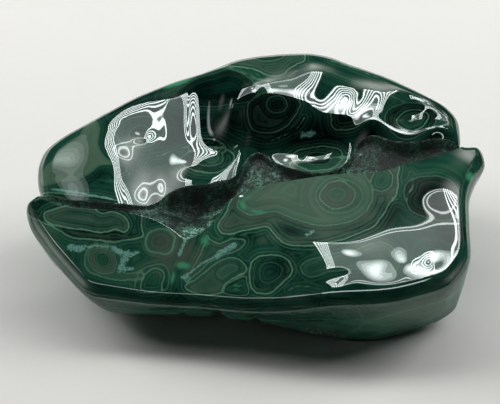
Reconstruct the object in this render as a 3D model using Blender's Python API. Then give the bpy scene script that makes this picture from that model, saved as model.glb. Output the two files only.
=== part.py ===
"""A free-form polished malachite stone, about 130 mm long, made as one closed solid.

The stone is one piece. Its upper side is a sloping polished plate in front, a rough crevice behind
the plate's crest, and a taller body behind the crevice, which rises over a steep wall and low
scooped lobes to a broad rounded rim. The upper side is one grid of rows that run from left to
right. The wall and the underside are rings extruded from the border of that grid, down to a flat
foot under the right half. The left end overhangs.

Lengths in the tables are millimetres. X runs to the right, Y to the back and Z up.
"""

import bmesh
import bpy
import numpy as np

MM = 0.001
COLUMNS = 58
PLATE_ROWS = 15
RISER_ROWS = 2
CREVICE_ROWS = 5
BODY_ROWS = 20
WALL_RINGS = 5
BASE_RINGS = 3

# Outline stations: x, y, edge radius, then x, y, z of the wall's lower edge below them.
FRONT = [
    (-45.6, -34.8, 2.8, -41.5, -33.2, 5.2),
    (-29.0, -36.9, 2.4, -29.0, -34.8, 5.5),
    (-15.0, -38.3, 2.4, -15.0, -35.4, 6.0),
    (-1.5, -40.5, 2.4, -1.5, -36.6, 5.0),
    (19.0, -42.0, 2.4, 17.0, -38.2, 1.2),
    (37.0, -41.2, 2.6, 33.0, -39.1, 0.0),
    (51.4, -37.4, 3.0, 50.3, -34.3, 2.2),
]
PLATE_LEFT = [
    (-45.6, -34.8, 2.8, -41.5, -33.2, 5.2),
    (-52.2, -28.2, 3.0, -48.0, -26.5, 7.0),
    (-58.6, -21.0, 3.0, -54.0, -21.0, 8.0),
    (-63.0, -14.5, 3.0, -58.0, -15.0, 10.0),
    (-63.7, -10.5, 2.5, -58.5, -10.0, 10.0),
    (-60.8, -8.0, 2.0, -57.5, -7.5, 9.0),
]
PLATE_RIGHT = [
    (51.4, -37.4, 3.0, 50.3, -34.3, 2.2),
    (57.0, -30.6, 3.4, 55.4, -30.6, 4.5),
    (58.2, -20.0, 3.4, 55.7, -19.5, 5.5),
    (59.3, -10.0, 3.4, 56.1, -9.5, 6.5),
    (62.4, -2.0, 3.2, 57.8, -1.5, 8.0),
    (65.0, 3.0, 3.0, 58.5, 3.0, 10.0),
    (63.4, 6.9, 2.5, 58.2, 6.4, 10.0),
    (59.5, 7.0, 2.0, 56.5, 8.2, 9.0),
]
BODY_LEFT = [
    (-60.3, -6.0, 2.5, -57.0, -5.5, 9.0),
    (-61.7, -2.0, 4.5, -56.5, -2.0, 8.5),
    (-62.3, 3.2, 5.5, -55.5, 2.2, 8.0),
    (-61.2, 8.4, 6.0, -53.5, 6.0, 8.0),
    (-56.8, 13.2, 6.0, -50.5, 9.5, 8.0),
]
BODY_RIGHT = [
    (58.8, 9.8, 2.5, 56.0, 10.5, 9.0),
    (59.2, 13.4, 3.5, 54.5, 12.5, 8.0),
    (58.9, 19.0, 5.0, 52.5, 16.5, 7.0),
    (55.4, 24.6, 5.5, 49.0, 20.0, 7.0),
]
BACK = [
    (-56.8, 13.2, 6.0, -50.5, 9.5, 8.0),
    (-44.5, 20.8, 5.0, -40.0, 16.0, 7.0),
    (-33.0, 28.0, 4.0, -30.0, 22.5, 6.0),
    (-24.0, 32.6, 4.0, -22.0, 25.8, 6.0),
    (-16.0, 35.0, 4.5, -15.0, 27.6, 6.0),
    (2.0, 39.8, 6.0, 2.0, 32.0, 6.0),
    (12.0, 40.6, 6.0, 11.5, 33.2, 6.0),
    (23.0, 40.0, 6.0, 21.5, 32.8, 6.0),
    (36.0, 35.8, 5.0, 33.0, 29.2, 6.0),
    (47.0, 30.0, 5.0, 42.5, 24.5, 6.5),
    (55.4, 24.6, 5.5, 49.0, 20.0, 7.0),
]

# The plate's crest: x, y, and how far the crevice floor lies below it.
CREST = [
    (-60.8, -8.0, 2.0),
    (-54.0, -11.0, 2.0),
    (-45.8, -12.2, 2.0),
    (-39.0, -12.5, 1.6),
    (-32.0, -13.8, 1.0),
    (-28.1, -14.9, 0.9),
    (-23.1, -17.6, 0.9),
    (-18.1, -20.6, 0.9),
    (-16.0, -19.4, 1.3),
    (-13.2, -17.0, 2.0),
    (-11.0, -14.1, 3.0),
    (-8.3, -9.7, 4.0),
    (-4.5, -6.4, 5.5),
    (0.3, -4.9, 6.5),
    (11.8, -3.0, 7.0),
    (23.5, -1.9, 7.5),
    (33.9, -1.7, 7.5),
    (41.1, 0.6, 7.5),
    (50.5, 3.2, 7.0),
    (59.5, 7.0, 5.0),
]
# The polished body's lower lip: x, y, and how far the crevice floor lies below it.
LIP = [
    (-60.3, -6.0, 1.8),
    (-52.0, -9.8, 1.8),
    (-43.0, -10.9, 1.8),
    (-36.5, -11.2, 1.5),
    (-30.5, -11.0, 1.5),
    (-27.0, -9.0, 2.5),
    (-24.5, -6.2, 5.0),
    (-20.5, -3.6, 8.0),
    (-12.0, -2.2, 8.5),
    (-6.0, 0.0, 6.0),
    (-2.8, 5.5, 3.5),
    (0.5, 8.5, 2.0),
    (5.0, 5.5, 2.5),
    (11.0, 3.2, 3.5),
    (20.0, 2.0, 4.0),
    (26.0, 5.0, 3.0),
    (29.0, 10.5, 2.0),
    (33.0, 13.5, 2.5),
    (39.0, 11.5, 4.0),
    (46.0, 11.0, 5.0),
    (52.0, 12.2, 4.0),
    (58.8, 9.8, 3.0),
]

# The polished plate along x: x, height at PLATE_EDGE_Y, slope there, and the slope it eases to.
PLATE_TILT = [
    (-64.0, 12.0, 0.53, 0.43),
    (-45.0, 12.8, 0.50, 0.40),
    (-25.0, 12.9, 0.49, 0.365),
    (-10.0, 14.1, 0.47, 0.31),
    (5.0, 16.3, 0.43, 0.26),
    (20.0, 19.8, 0.37, 0.165),
    (38.0, 20.2, 0.36, 0.175),
    (62.0, 20.6, 0.38, 0.20),
]
PLATE_EDGE_Y = -40.0
PLATE_EASE_LENGTH = 10.0

# The polished body in sections: share of the way from left to right, height of the lip, then y and
# height of the wall's foot, the wall's middle, the shoulder and the rim, and last the height that
# the rounded back edge falls from.
BODY_SECTIONS = [
    (0.00, 25.0, -2.5, 27.0, 2.0, 29.0, 6.0, 30.2, 9.5, 31.0, 31.0),
    (0.14, 25.5, -4.0, 27.6, 3.0, 30.1, 10.0, 32.3, 16.5, 34.0, 34.5),
    (0.20, 24.9, 0.0, 28.0, 8.0, 30.8, 15.0, 33.2, 21.0, 35.0, 35.4),
    (0.25, 24.1, 2.0, 27.6, 9.0, 30.2, 16.0, 32.8, 23.0, 35.2, 35.9),
    (0.30, 24.4, 3.0, 27.0, 10.0, 29.7, 16.0, 32.0, 23.0, 34.8, 36.7),
    (0.35, 24.6, 4.5, 26.6, 9.5, 28.7, 16.0, 31.2, 23.0, 34.2, 37.8),
    (0.40, 25.0, 4.5, 27.1, 9.0, 28.5, 14.5, 30.9, 23.5, 34.8, 39.4),
    (0.45, 25.6, 5.0, 27.5, 9.0, 29.0, 16.0, 36.6, 25.5, 39.7, 40.8),
    (0.50, 27.3, 10.0, 29.0, 14.0, 33.7, 19.5, 39.0, 28.0, 41.0, 41.5),
    (0.55, 26.2, 9.0, 28.2, 14.0, 33.4, 20.5, 38.2, 30.5, 41.2, 41.8),
    (0.60, 25.8, 9.5, 28.4, 14.5, 33.0, 19.5, 36.6, 31.5, 41.2, 42.0),
    (0.65, 25.5, 10.5, 28.6, 16.0, 33.2, 20.5, 36.0, 32.5, 41.2, 42.0),
    (0.70, 26.0, 12.0, 29.3, 17.0, 33.1, 22.0, 35.8, 32.5, 40.2, 41.0),
    (0.75, 28.0, 14.0, 31.0, 18.0, 33.2, 24.0, 36.2, 31.5, 38.5, 39.2),
    (0.80, 29.3, 16.0, 32.0, 20.0, 33.9, 26.0, 36.3, 31.5, 37.6, 38.0),
    (0.85, 29.0, 14.5, 31.5, 18.5, 33.3, 24.5, 35.5, 29.5, 36.8, 37.2),
    (0.90, 29.0, 14.0, 31.3, 18.0, 32.8, 22.5, 34.6, 27.0, 35.9, 36.2),
    (1.00, 29.5, 12.5, 31.0, 16.0, 32.8, 19.0, 34.2, 22.0, 35.0, 35.0),
]

# Scoops and bulges: x, y, half length, half width, turn in degrees, height.
BODY_SCOOPS = [
    (-32.0, 13.0, 7.0, 6.0, 15.0, -0.4),
    (-38.5, 0.5, 5.0, 5.5, 0.0, 0.45),
    (-12.5, 6.0, 6.0, 3.5, 5.0, -0.7),
    (18.0, 7.4, 8.0, 4.0, 10.0, -1.5),
    (3.0, 16.0, 8.0, 5.0, 0.0, -1.2),
    (45.5, 19.0, 6.5, 4.5, 15.0, -2.0),
]
PLATE_SCOOPS = [
    (40.0, -27.0, 22.0, 22.0, 5.0, 0.8),
    (6.5, -27.0, 12.0, 9.0, 0.0, 1.4),
    (21.0, -29.0, 9.0, 8.0, 0.0, 0.4),
    (60.0, -24.0, 10.0, 12.0, 0.0, 0.5),
    (-10.0, -11.0, 9.0, 8.0, 0.0, -0.4),
    (3.0, -2.0, 12.0, 7.0, 0.0, -0.55),
    (52.0, -6.0, 9.0, 8.0, 0.0, 0.75),
    (67.0, -2.0, 9.0, 8.0, 0.0, -1.2),
]

CREST_RADIUS = 1.2
CREST_ROUNDED_SHARE = 0.6
RISER_RUN = 0.8
LIP_LEAN = 0.3
LIP_UNDERCUT = 1.0
UNDERCUT_FROM_DROP = 3.0
UNDERCUT_FULL_DROP = 6.0

# The wall leaves the outline upright and bows in. The underside runs in to the flat foot, further
# where the wall's lower edge hangs free.
WALL_BOW = 2.0
FOOT_INSET_SHARE = 0.04
OVERHANG_INSET_SHARE = 0.22
OVERHANG_HEIGHT = 3.0
UNDERSIDE_CURVE = 1.5

# The middle of the stone's box in plan, which becomes the origin.
BOX_CENTRE = (0.46, -0.69)


def spline(stations, knots, at):
    """Every column of stations at the given places, on a cubic Hermite curve through the knots."""
    stations = np.asarray(stations, float)
    steps = np.diff(knots)
    slopes = np.diff(stations, axis=0) / steps[:, None]
    inner = slopes[:-1] * steps[1:, None] + slopes[1:] * steps[:-1, None]
    inner /= (steps[:-1] + steps[1:])[:, None]
    tangents = np.vstack([slopes[:1], inner, slopes[-1:]])
    span = np.clip(np.searchsorted(knots, at, side="right") - 1, 0, len(steps) - 1)
    step = steps[span][:, None]
    share = ((at - knots[span]) / steps[span])[:, None]
    rest = 1 - share
    return (
        stations[span] * (1 + 2 * share) * rest**2
        + stations[span + 1] * (3 - 2 * share) * share**2
        + tangents[span] * step * share * rest**2
        - tangents[span + 1] * step * share**2 * rest
    )


def chord_knots(stations):
    """Knots from 0 to 1 by the distance walked from station to station in plan."""
    plan = np.asarray(stations, float)[:, :2]
    walked = np.concatenate([[0], np.cumsum(np.hypot(*np.diff(plan, axis=0).T))])
    return walked / walked[-1]


def row_knots(stations):
    """Knots halfway between distance walked and distance along X, which keeps columns upright."""
    x = np.asarray(stations, float)[:, 0]
    return (chord_knots(stations) + (x - x[0]) / (x[-1] - x[0])) / 2


def spread(count, gather=0.5):
    """Places from 0 to 1 that lie closer together near both ends."""
    even = np.linspace(0, 1, count + 1)
    return even - gather * np.sin(2 * np.pi * even) / (2 * np.pi)


def smooth_step(x):
    """0 below 0, 1 above 1, and a smooth rise between."""
    x = np.clip(x, 0, 1)
    return x * x * (3 - 2 * x)


def patch(front, back, left, right, across, along):
    """A Coons patch in plan: rows run from left to right, and the sides shape their ends."""
    v = across[:, None, None]
    s = along[None, :, None]
    ruled = (1 - v) * front[None] + v * back[None]
    sides = (1 - s) * left[:, None] + s * right[:, None]
    corners = (1 - v) * ((1 - s) * front[0] + s * front[-1])
    corners = corners + v * ((1 - s) * back[0] + s * back[-1])
    return ruled + sides - corners


def scoops(x, y, table):
    """The summed heights of rounded scoops and bulges, each a bell on a turned ellipse."""
    total = np.zeros_like(x)
    for centre_x, centre_y, half_long, half_wide, turn, height in table:
        angle = np.radians(turn)
        along = (x - centre_x) * np.cos(angle) + (y - centre_y) * np.sin(angle)
        across = (y - centre_y) * np.cos(angle) - (x - centre_x) * np.sin(angle)
        total += height * np.exp(-((along / half_long) ** 2) - (across / half_wide) ** 2)
    return total


def plate_height(x, y):
    """The plate before its rounded edges: a slope that eases towards the back."""
    tilt = spline(PLATE_TILT, np.asarray(PLATE_TILT)[:, 0], x.ravel()).reshape(*x.shape, 4)
    behind = y - PLATE_EDGE_Y
    eased = PLATE_EASE_LENGTH * (1 - np.exp(-behind / PLATE_EASE_LENGTH))
    height = tilt[..., 1] + tilt[..., 3] * behind + (tilt[..., 2] - tilt[..., 3]) * eased
    return height + scoops(x, y, PLATE_SCOOPS)


def body_height(plan, along):
    """The body before its rounded edges, each column a smooth curve through its section."""
    table = np.asarray(BODY_SECTIONS)
    sections = spline(table[:, 1:], table[:, 0], along)
    height = np.empty(plan.shape[:2])
    for column, section in enumerate(sections):
        y = plan[:, column, 1]
        stations = np.concatenate([y[:1], section[1:9:2], y[-1:]])
        levels = np.concatenate([section[:1], section[2:9:2], section[9:]])
        height[:, column] = spline(levels[:, None], stations, y)[:, 0]
    return height + scoops(plan[..., 0], plan[..., 1], BODY_SCOOPS)


def edge_drop(distance, radius):
    """How far a rounded edge has fallen at a distance inside the outline."""
    reach = np.clip(1 - distance / radius, 0, 1)
    return radius * (1 - np.sqrt(1 - reach**2))


def upper_side(columns, plate_rows, riser_rows, crevice_rows, body_rows):
    """The upper side as rows of points, and the border's edge radius and lower edge."""
    along = spread(columns)
    front = spline(FRONT, row_knots(FRONT), along)
    back = spline(BACK, row_knots(BACK), along)
    crest = spline(CREST, row_knots(CREST), along)
    lip = spline(LIP, row_knots(LIP), along)
    crest_plan, crest_drop = crest[:, :2], np.maximum(crest[:, 2], 0)
    lip_plan, lip_drop = lip[:, :2], np.maximum(lip[:, 2], 0)

    # The plate, from the front edge to the crest.
    across = spread(plate_rows)
    left = spline(PLATE_LEFT, chord_knots(PLATE_LEFT), across)
    right = spline(PLATE_RIGHT, chord_knots(PLATE_RIGHT), across)
    plan = patch(front[:, :2], crest_plan, left[:, :2], right[:, :2], across, along)
    from_crest = np.hypot(*(plan - crest_plan[None]).transpose(2, 0, 1))
    rounding = np.minimum(CREST_RADIUS, CREST_ROUNDED_SHARE * crest_drop)[None] + 1e-6
    height = plate_height(plan[..., 0], plan[..., 1])
    crest_top = height[-1]
    height = height - edge_drop(from_crest, rounding)
    crest_height = height[-1]
    rows = [np.dstack([plan, height])]
    sides = [(left, right)]

    # The polished body, from its lip to the back outline.
    across = spread(body_rows)
    body_left = spline(BODY_LEFT, chord_knots(BODY_LEFT), across)
    body_right = spline(BODY_RIGHT, chord_knots(BODY_RIGHT), across)
    plan = patch(lip_plan, back[:, :2], body_left[:, :2], body_right[:, :2], across, along)
    body = np.dstack([plan, body_height(plan, along)])

    # The crevice, with a riser on each side.
    floor_front = crest_plan + [0, RISER_RUN]
    deep = (lip_drop - UNDERCUT_FROM_DROP) / (UNDERCUT_FULL_DROP - UNDERCUT_FROM_DROP)
    floor_back = lip_plan + [0, LIP_UNDERCUT] * smooth_step(deep)[:, None] - [0, LIP_LEAN]
    front_height = crest_top - crest_drop
    lip_height = body[0, :, 2]
    back_height = lip_height - lip_drop
    for step in range(1, riser_rows):
        share = step / riser_rows
        level = crest_height + (front_height - crest_height) * share
        plan = crest_plan + (floor_front - crest_plan) * share
        rows.append(np.column_stack([plan, level])[None])
    for share in np.linspace(0, 1, crevice_rows + 1):
        plan = floor_front + (floor_back - floor_front) * share
        level = front_height + (back_height - front_height) * smooth_step(share)
        rows.append(np.column_stack([plan, level])[None])
    for step in range(1, riser_rows):
        share = step / riser_rows
        level = back_height + (lip_height - back_height) * share
        plan = floor_back + (lip_plan - floor_back) * share
        rows.append(np.column_stack([plan, level])[None])
    between = sum(len(block) for block in rows[1:])
    share = (np.arange(between) + 1)[:, None] / (between + 1)
    ends = []
    for first, last in ((PLATE_LEFT[-1], BODY_LEFT[0]), (PLATE_RIGHT[-1], BODY_RIGHT[0])):
        ends.append(np.asarray(first) * (1 - share) + np.asarray(last) * share)
    sides.append(tuple(ends))

    rows.append(body)
    sides.append((body_left, body_right))

    points = np.concatenate(rows)
    left = np.concatenate([side[0] for side in sides])
    right = np.concatenate([side[1] for side in sides])
    # Each border channel follows the ring: front, right side, back and left side.
    ring = np.concatenate([front, right[1:-1], back[::-1], left[-2:0:-1]])
    ring_plan = np.concatenate(
        [points[0, :, :2], points[1:-1, -1, :2], points[-1, ::-1, :2], points[-2:0:-1, 0, :2]]
    )
    ring[:, :2] = ring_plan
    return points, ring


def distance_to_ring(points, ring):
    """Each point's distance in plan to the ring of segments, and the edge radius there."""
    start = ring
    step = np.roll(ring, -1, axis=0) - start
    length2 = np.maximum((step[:, :2] ** 2).sum(1), 1e-9)
    flat = points.reshape(-1, points.shape[-1])[:, :2]
    away = flat[:, None] - start[None, :, :2]
    share = np.clip((away * step[None, :, :2]).sum(-1) / length2, 0, 1)
    gap = np.hypot(*(away - share[..., None] * step[None, :, :2]).transpose(2, 0, 1))
    nearest = gap.argmin(1)
    picked = np.arange(len(flat))
    radius = start[nearest, 2] + share[picked, nearest] * step[nearest, 2]
    shape = points.shape[:-1]
    return gap[picked, nearest].reshape(shape), radius.reshape(shape)


def border(grid):
    """A grid's border values in ring order: front, right side, back, left side."""
    return np.concatenate([grid[0], grid[1:-1, -1], grid[-1, ::-1], grid[-2:0:-1, 0]])


def stone_shell():
    """All the points of the solid: the upper grid, and the rings of wall and base below it."""
    points, ring = upper_side(COLUMNS, PLATE_ROWS, RISER_ROWS, CREVICE_ROWS, BODY_ROWS)
    gap, radius = distance_to_ring(points, ring)
    points[..., 2] -= edge_drop(gap, radius)
    top = border(points)
    lower = np.column_stack([ring[:, 3:5], np.maximum(ring[:, 5], 0)])
    rings = []
    for step in range(1, WALL_RINGS + 1):
        share = step / WALL_RINGS
        level = top.copy()
        level[:, :2] += (lower[:, :2] - top[:, :2]) * share**WALL_BOW
        level[:, 2] += (lower[:, 2] - top[:, 2]) * share
        rings.append(level)
    middle = lower[:, :2].mean(0)
    hanging = smooth_step(lower[:, 2] / OVERHANG_HEIGHT)[:, None]
    inset = FOOT_INSET_SHARE + OVERHANG_INSET_SHARE * hanging
    foot = lower[:, :2] + (middle - lower[:, :2]) * inset
    for step in range(1, BASE_RINGS + 1):
        share = step / BASE_RINGS
        level = lower.copy()
        level[:, :2] += (foot - lower[:, :2]) * share
        level[:, 2] *= (1 - share) ** UNDERSIDE_CURVE
        rings.append(level)
    return points, rings


def clear_scene():
    """Removes what the startup scene holds."""
    for thing in list(bpy.data.objects):
        bpy.data.objects.remove(thing, do_unlink=True)


def malachite():
    """Polished malachite: deep green and glossy."""
    material = bpy.data.materials.new("malachite")
    material.use_nodes = True
    shader = material.node_tree.nodes["Principled BSDF"]
    shader.inputs["Base Color"].default_value = (0.012, 0.11, 0.055, 1)
    shader.inputs["Roughness"].default_value = 0.12
    shader.inputs["Metallic"].default_value = 0.0
    return material


def build_stone(collection):
    """A grid primitive shaped to the upper side, then extruded ring by ring and capped below."""
    points, rings = stone_shell()
    row_count, column_count = points.shape[:2]
    mesh = bmesh.new()
    bmesh.ops.create_grid(mesh, x_segments=column_count - 1, y_segments=row_count - 1, size=1)
    grid = sorted(mesh.verts, key=lambda v: (round(v.co.y, 5), round(v.co.x, 5)))
    shift = np.array([*BOX_CENTRE, 0.0])
    for vertex, place in zip(grid, points.reshape(-1, 3)):
        vertex.co = (place - shift) * MM
    index = np.arange(len(grid)).reshape(row_count, column_count)
    edge_ring = [grid[i] for i in border(index)]
    for level in rings:
        below = [mesh.verts.new((place - shift) * MM) for place in level]
        for i, vertex in enumerate(edge_ring):
            after = (i + 1) % len(edge_ring)
            mesh.faces.new((vertex, below[i], below[after], edge_ring[after]))
        edge_ring = below
    mesh.faces.new(edge_ring[::-1])
    bmesh.ops.recalc_face_normals(mesh, faces=mesh.faces)
    data = bpy.data.meshes.new("malachite_stone")
    mesh.to_mesh(data)
    mesh.free()
    data.materials.append(malachite())
    data.shade_smooth()
    stone = bpy.data.objects.new("malachite_stone", data)
    collection.objects.link(stone)
    return stone


def main():
    clear_scene()
    collection = bpy.data.collections.new("malachite_stone")
    bpy.context.scene.collection.children.link(collection)
    build_stone(collection)


main()
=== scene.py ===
"""A free-form polished malachite stone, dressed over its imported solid.

The stone is one surface: a grid of rows for its upper side, and rings of wall and underside below
it. Its pattern is grown in space from a list of nodules, so the bands run over the rim and down the
walls as they do in the real mineral. Lengths in the tables are millimetres, measured from the
middle of the plate's length, before the stone is moved to the middle of its box.
"""

import math
from functools import reduce

import bpy
import numpy as np
from bpy.props import FloatProperty, FloatVectorProperty, IntProperty, PointerProperty
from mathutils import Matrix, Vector


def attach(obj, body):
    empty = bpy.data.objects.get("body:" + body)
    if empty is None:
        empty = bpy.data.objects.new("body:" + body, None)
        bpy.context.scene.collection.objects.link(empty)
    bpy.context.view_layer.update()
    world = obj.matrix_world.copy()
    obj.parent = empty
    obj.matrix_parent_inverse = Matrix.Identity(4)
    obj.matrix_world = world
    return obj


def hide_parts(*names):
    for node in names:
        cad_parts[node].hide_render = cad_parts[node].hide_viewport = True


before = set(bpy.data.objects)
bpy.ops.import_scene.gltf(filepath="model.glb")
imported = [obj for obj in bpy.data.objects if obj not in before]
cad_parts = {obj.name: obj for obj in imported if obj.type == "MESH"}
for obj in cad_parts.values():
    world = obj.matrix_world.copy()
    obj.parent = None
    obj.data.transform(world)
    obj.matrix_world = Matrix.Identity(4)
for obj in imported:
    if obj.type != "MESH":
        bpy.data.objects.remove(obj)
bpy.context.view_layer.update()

bl_info = {
    "name": "Polished malachite stone",
    "version": (1, 0, 0),
    "blender": (4, 5, 0),
    "location": "3D Viewport > Sidebar > Malachite",
    "description": "Builds a banded, polished malachite stone with a rough crevice",
    "category": "Add Mesh",
}

MM = 0.001
# The middle of the stone's box, in the millimetres of the tables.
BOX_CENTRE = np.array([0.46, -0.69, 0.0])

# Outline stations: x, y, edge radius, then x, y, z of the wall's lower edge below them.
FRONT = [
    (-45.6, -34.8, 2.8, -41.5, -33.2, 5.2),
    (-29, -36.9, 2.4, -29, -34.8, 5.5),
    (-15, -38.3, 2.4, -15, -35.4, 6),
    (-1.5, -40.5, 2.4, -1.5, -36.6, 5),
    (19, -42, 2.4, 17, -38.2, 1.2),
    (37, -41.2, 2.6, 33, -39.1, 0),
    (51.4, -37.4, 3, 50.3, -34.3, 2.2),
]
PLATE_LEFT = [
    (-45.6, -34.8, 2.8, -41.5, -33.2, 5.2),
    (-52.2, -28.2, 3, -48, -26.5, 7),
    (-58.6, -21, 3, -54, -21, 8),
    (-63, -14.5, 3, -58, -15, 10),
    (-63.7, -10.5, 2.5, -58.5, -10, 10),
    (-60.8, -8, 2, -57.5, -7.5, 9),
]
PLATE_RIGHT = [
    (51.4, -37.4, 3, 50.3, -34.3, 2.2),
    (57, -30.6, 3.4, 55.4, -30.6, 4.5),
    (58.2, -20, 3.4, 55.7, -19.5, 5.5),
    (59.3, -10, 3.4, 56.1, -9.5, 6.5),
    (62.4, -2, 3.2, 57.8, -1.5, 8),
    (65, 3, 3, 58.5, 3, 10),
    (63.4, 6.9, 2.5, 58.2, 6.4, 10),
    (59.5, 7, 2, 56.5, 8.2, 9),
]
BODY_LEFT = [
    (-60.3, -6, 2.5, -57, -5.5, 9),
    (-61.7, -2, 4.5, -56.5, -2, 8.5),
    (-62.3, 3.2, 5.5, -55.5, 2.2, 8),
    (-61.2, 8.4, 6, -53.5, 6, 8),
    (-56.8, 13.2, 6, -50.5, 9.5, 8),
]
BODY_RIGHT = [
    (58.8, 9.8, 2.5, 56, 10.5, 9),
    (59.2, 13.4, 3.5, 54.5, 12.5, 8),
    (58.9, 19, 5, 52.5, 16.5, 7),
    (55.4, 24.6, 5.5, 49, 20, 7),
]
BACK = [
    (-56.8, 13.2, 6, -50.5, 9.5, 8),
    (-44.5, 20.8, 5, -40, 16, 7),
    (-33, 28, 4, -30, 22.5, 6),
    (-24, 32.6, 4, -22, 25.8, 6),
    (-16, 35, 4.5, -15, 27.6, 6),
    (2, 39.8, 6, 2, 32, 6),
    (12, 40.6, 6, 11.5, 33.2, 6),
    (23, 40, 6, 21.5, 32.8, 6),
    (36, 35.8, 5, 33, 29.2, 6),
    (47, 30, 5, 42.5, 24.5, 6.5),
    (55.4, 24.6, 5.5, 49, 20, 7),
]

# The plate's crest: x, y, and how far the crevice floor lies below it.
CREST = [
    (-60.8, -8, 2),
    (-54, -11, 2),
    (-45.8, -12.2, 2),
    (-39, -12.5, 1.6),
    (-32, -13.8, 1),
    (-28.1, -14.9, 0.9),
    (-23.1, -17.6, 0.9),
    (-18.1, -20.6, 0.9),
    (-16, -19.4, 1.3),
    (-13.2, -17, 2),
    (-11, -14.1, 3),
    (-8.3, -9.7, 4),
    (-4.5, -6.4, 5.5),
    (0.3, -4.9, 6.5),
    (11.8, -3, 7),
    (23.5, -1.9, 7.5),
    (33.9, -1.7, 7.5),
    (41.1, 0.6, 7.5),
    (50.5, 3.2, 7),
    (59.5, 7, 5),
]
# The polished body's lower lip: x, y, and how far the crevice floor lies below it.
LIP = [
    (-60.3, -6, 1.8),
    (-52, -9.8, 1.8),
    (-43, -10.9, 1.8),
    (-36.5, -11.2, 1.5),
    (-30.5, -11, 1.5),
    (-27, -9, 2.5),
    (-24.5, -6.2, 5),
    (-20.5, -3.6, 8),
    (-12, -2.2, 8.5),
    (-6, 0, 6),
    (-2.8, 5.5, 3.5),
    (0.5, 8.5, 2),
    (5, 5.5, 2.5),
    (11, 3.2, 3.5),
    (20, 2, 4),
    (26, 5, 3),
    (29, 10.5, 2),
    (33, 13.5, 2.5),
    (39, 11.5, 4),
    (46, 11, 5),
    (52, 12.2, 4),
    (58.8, 9.8, 3),
]

# The polished plate along x: x, height at PLATE_EDGE_Y, slope there, and the slope it eases to.
PLATE_TILT = [
    (-64, 12, 0.53, 0.43),
    (-45, 12.8, 0.5, 0.4),
    (-25, 12.9, 0.49, 0.365),
    (-10, 14.1, 0.47, 0.31),
    (5, 16.3, 0.43, 0.26),
    (20, 19.8, 0.37, 0.165),
    (38, 20.2, 0.36, 0.175),
    (62, 20.6, 0.38, 0.2),
]
PLATE_EDGE_Y = -40
PLATE_EASE_LENGTH = 10

# The polished body in sections: share of the way from left to right, height of the lip, then y and
# height of the wall's foot, the wall's middle, the shoulder and the rim, and last the height that
# the rounded back edge falls from.
BODY_SECTIONS = [
    (0, 25, -2.5, 27, 2, 29, 6, 30.2, 9.5, 31, 31),
    (0.14, 25.5, -4, 27.6, 3, 30.1, 10, 32.3, 16.5, 34, 34.5),
    (0.2, 24.9, 0, 28, 8, 30.8, 15, 33.2, 21, 35, 35.4),
    (0.25, 24.1, 2, 27.6, 9, 30.2, 16, 32.8, 23, 35.2, 35.9),
    (0.3, 24.4, 3, 27, 10, 29.7, 16, 32, 23, 34.8, 36.7),
    (0.35, 24.6, 4.5, 26.6, 9.5, 28.7, 16, 31.2, 23, 34.2, 37.8),
    (0.4, 25, 4.5, 27.1, 9, 28.5, 14.5, 30.9, 23.5, 34.8, 39.4),
    (0.45, 25.6, 5, 27.5, 9, 29, 16, 36.6, 25.5, 39.7, 40.8),
    (0.5, 27.3, 10, 29, 14, 33.7, 19.5, 39, 28, 41, 41.5),
    (0.55, 26.2, 9, 28.2, 14, 33.4, 20.5, 38.2, 30.5, 41.2, 41.8),
    (0.6, 25.8, 9.5, 28.4, 14.5, 33, 19.5, 36.6, 31.5, 41.2, 42),
    (0.65, 25.5, 10.5, 28.6, 16, 33.2, 20.5, 36, 32.5, 41.2, 42),
    (0.7, 26, 12, 29.3, 17, 33.1, 22, 35.8, 32.5, 40.2, 41),
    (0.75, 28, 14, 31, 18, 33.2, 24, 36.2, 31.5, 38.5, 39.2),
    (0.8, 29.3, 16, 32, 20, 33.9, 26, 36.3, 31.5, 37.6, 38),
    (0.85, 29, 14.5, 31.5, 18.5, 33.3, 24.5, 35.5, 29.5, 36.8, 37.2),
    (0.9, 29, 14, 31.3, 18, 32.8, 22.5, 34.6, 27, 35.9, 36.2),
    (1, 29.5, 12.5, 31, 16, 32.8, 19, 34.2, 22, 35, 35),
]

# Scoops and bulges: x, y, half length, half width, turn in degrees, height.
BODY_SCOOPS = [
    (-32, 13, 7, 6, 15, -0.4),
    (-38.5, 0.5, 5, 5.5, 0, 0.5),
    (-32.5, 11.5, 2.2, 1.6, 15, -0.15),
    (-12.5, 6, 6, 3.5, 5, -0.7),
    (18, 7.4, 8, 4, 10, -1.5),
    (3, 16, 8, 5, 0, -1.2),
    (45.5, 19, 6.5, 4.5, 15, -2),
]
PLATE_SCOOPS = [
    (40, -27, 22, 22, 5, 0.8),
    (6.5, -27, 12, 9, 0, 1.4),
    (21, -29, 9, 8, 0, 0.4),
    (60, -24, 10, 12, 0, 0.5),
    (-10, -11, 9, 8, 0, -0.4),
    (3, -2, 12, 7, 0, -0.65),
    (-1, -5.5, 4.5, 3, 0, -0.18),
    (52, -6, 9, 8, 0, 0.75),
    (67, -2, 9, 8, 0, -1.2),
]
# Shallow dimples that the polishing wheel left on the plate, in the same words.
PLATE_DIMPLES = [
    (47.5, -32, 2.6, 2, 20, -0.16),
    (21.5, -36.2, 3, 1.6, 10, -0.22),
    (40, -33.5, 3, 2.4, 60, 0.1),
    (33, -34.5, 2.4, 2, 30, -0.06),
]

# How finely the surface is sampled, and how much its rows gather towards their edges.
PLATE_ROWS = 84
RISER_ROWS = 5
CREVICE_ROWS = 24
BODY_ROWS = 92
WALL_RINGS = 24
BASE_RINGS = 8
FOOT_RINGS = 2
COLUMN_GATHER = 0.2
ROW_GATHER = 0.75

# How far along the outline its corners are rounded.
CORNER_REACH = 3.0
# The radius of the crest's edge, and the most of the crevice's depth that it may be.
CREST_RADIUS = 1.2
CREST_ROUNDED_SHARE = 0.6
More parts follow.
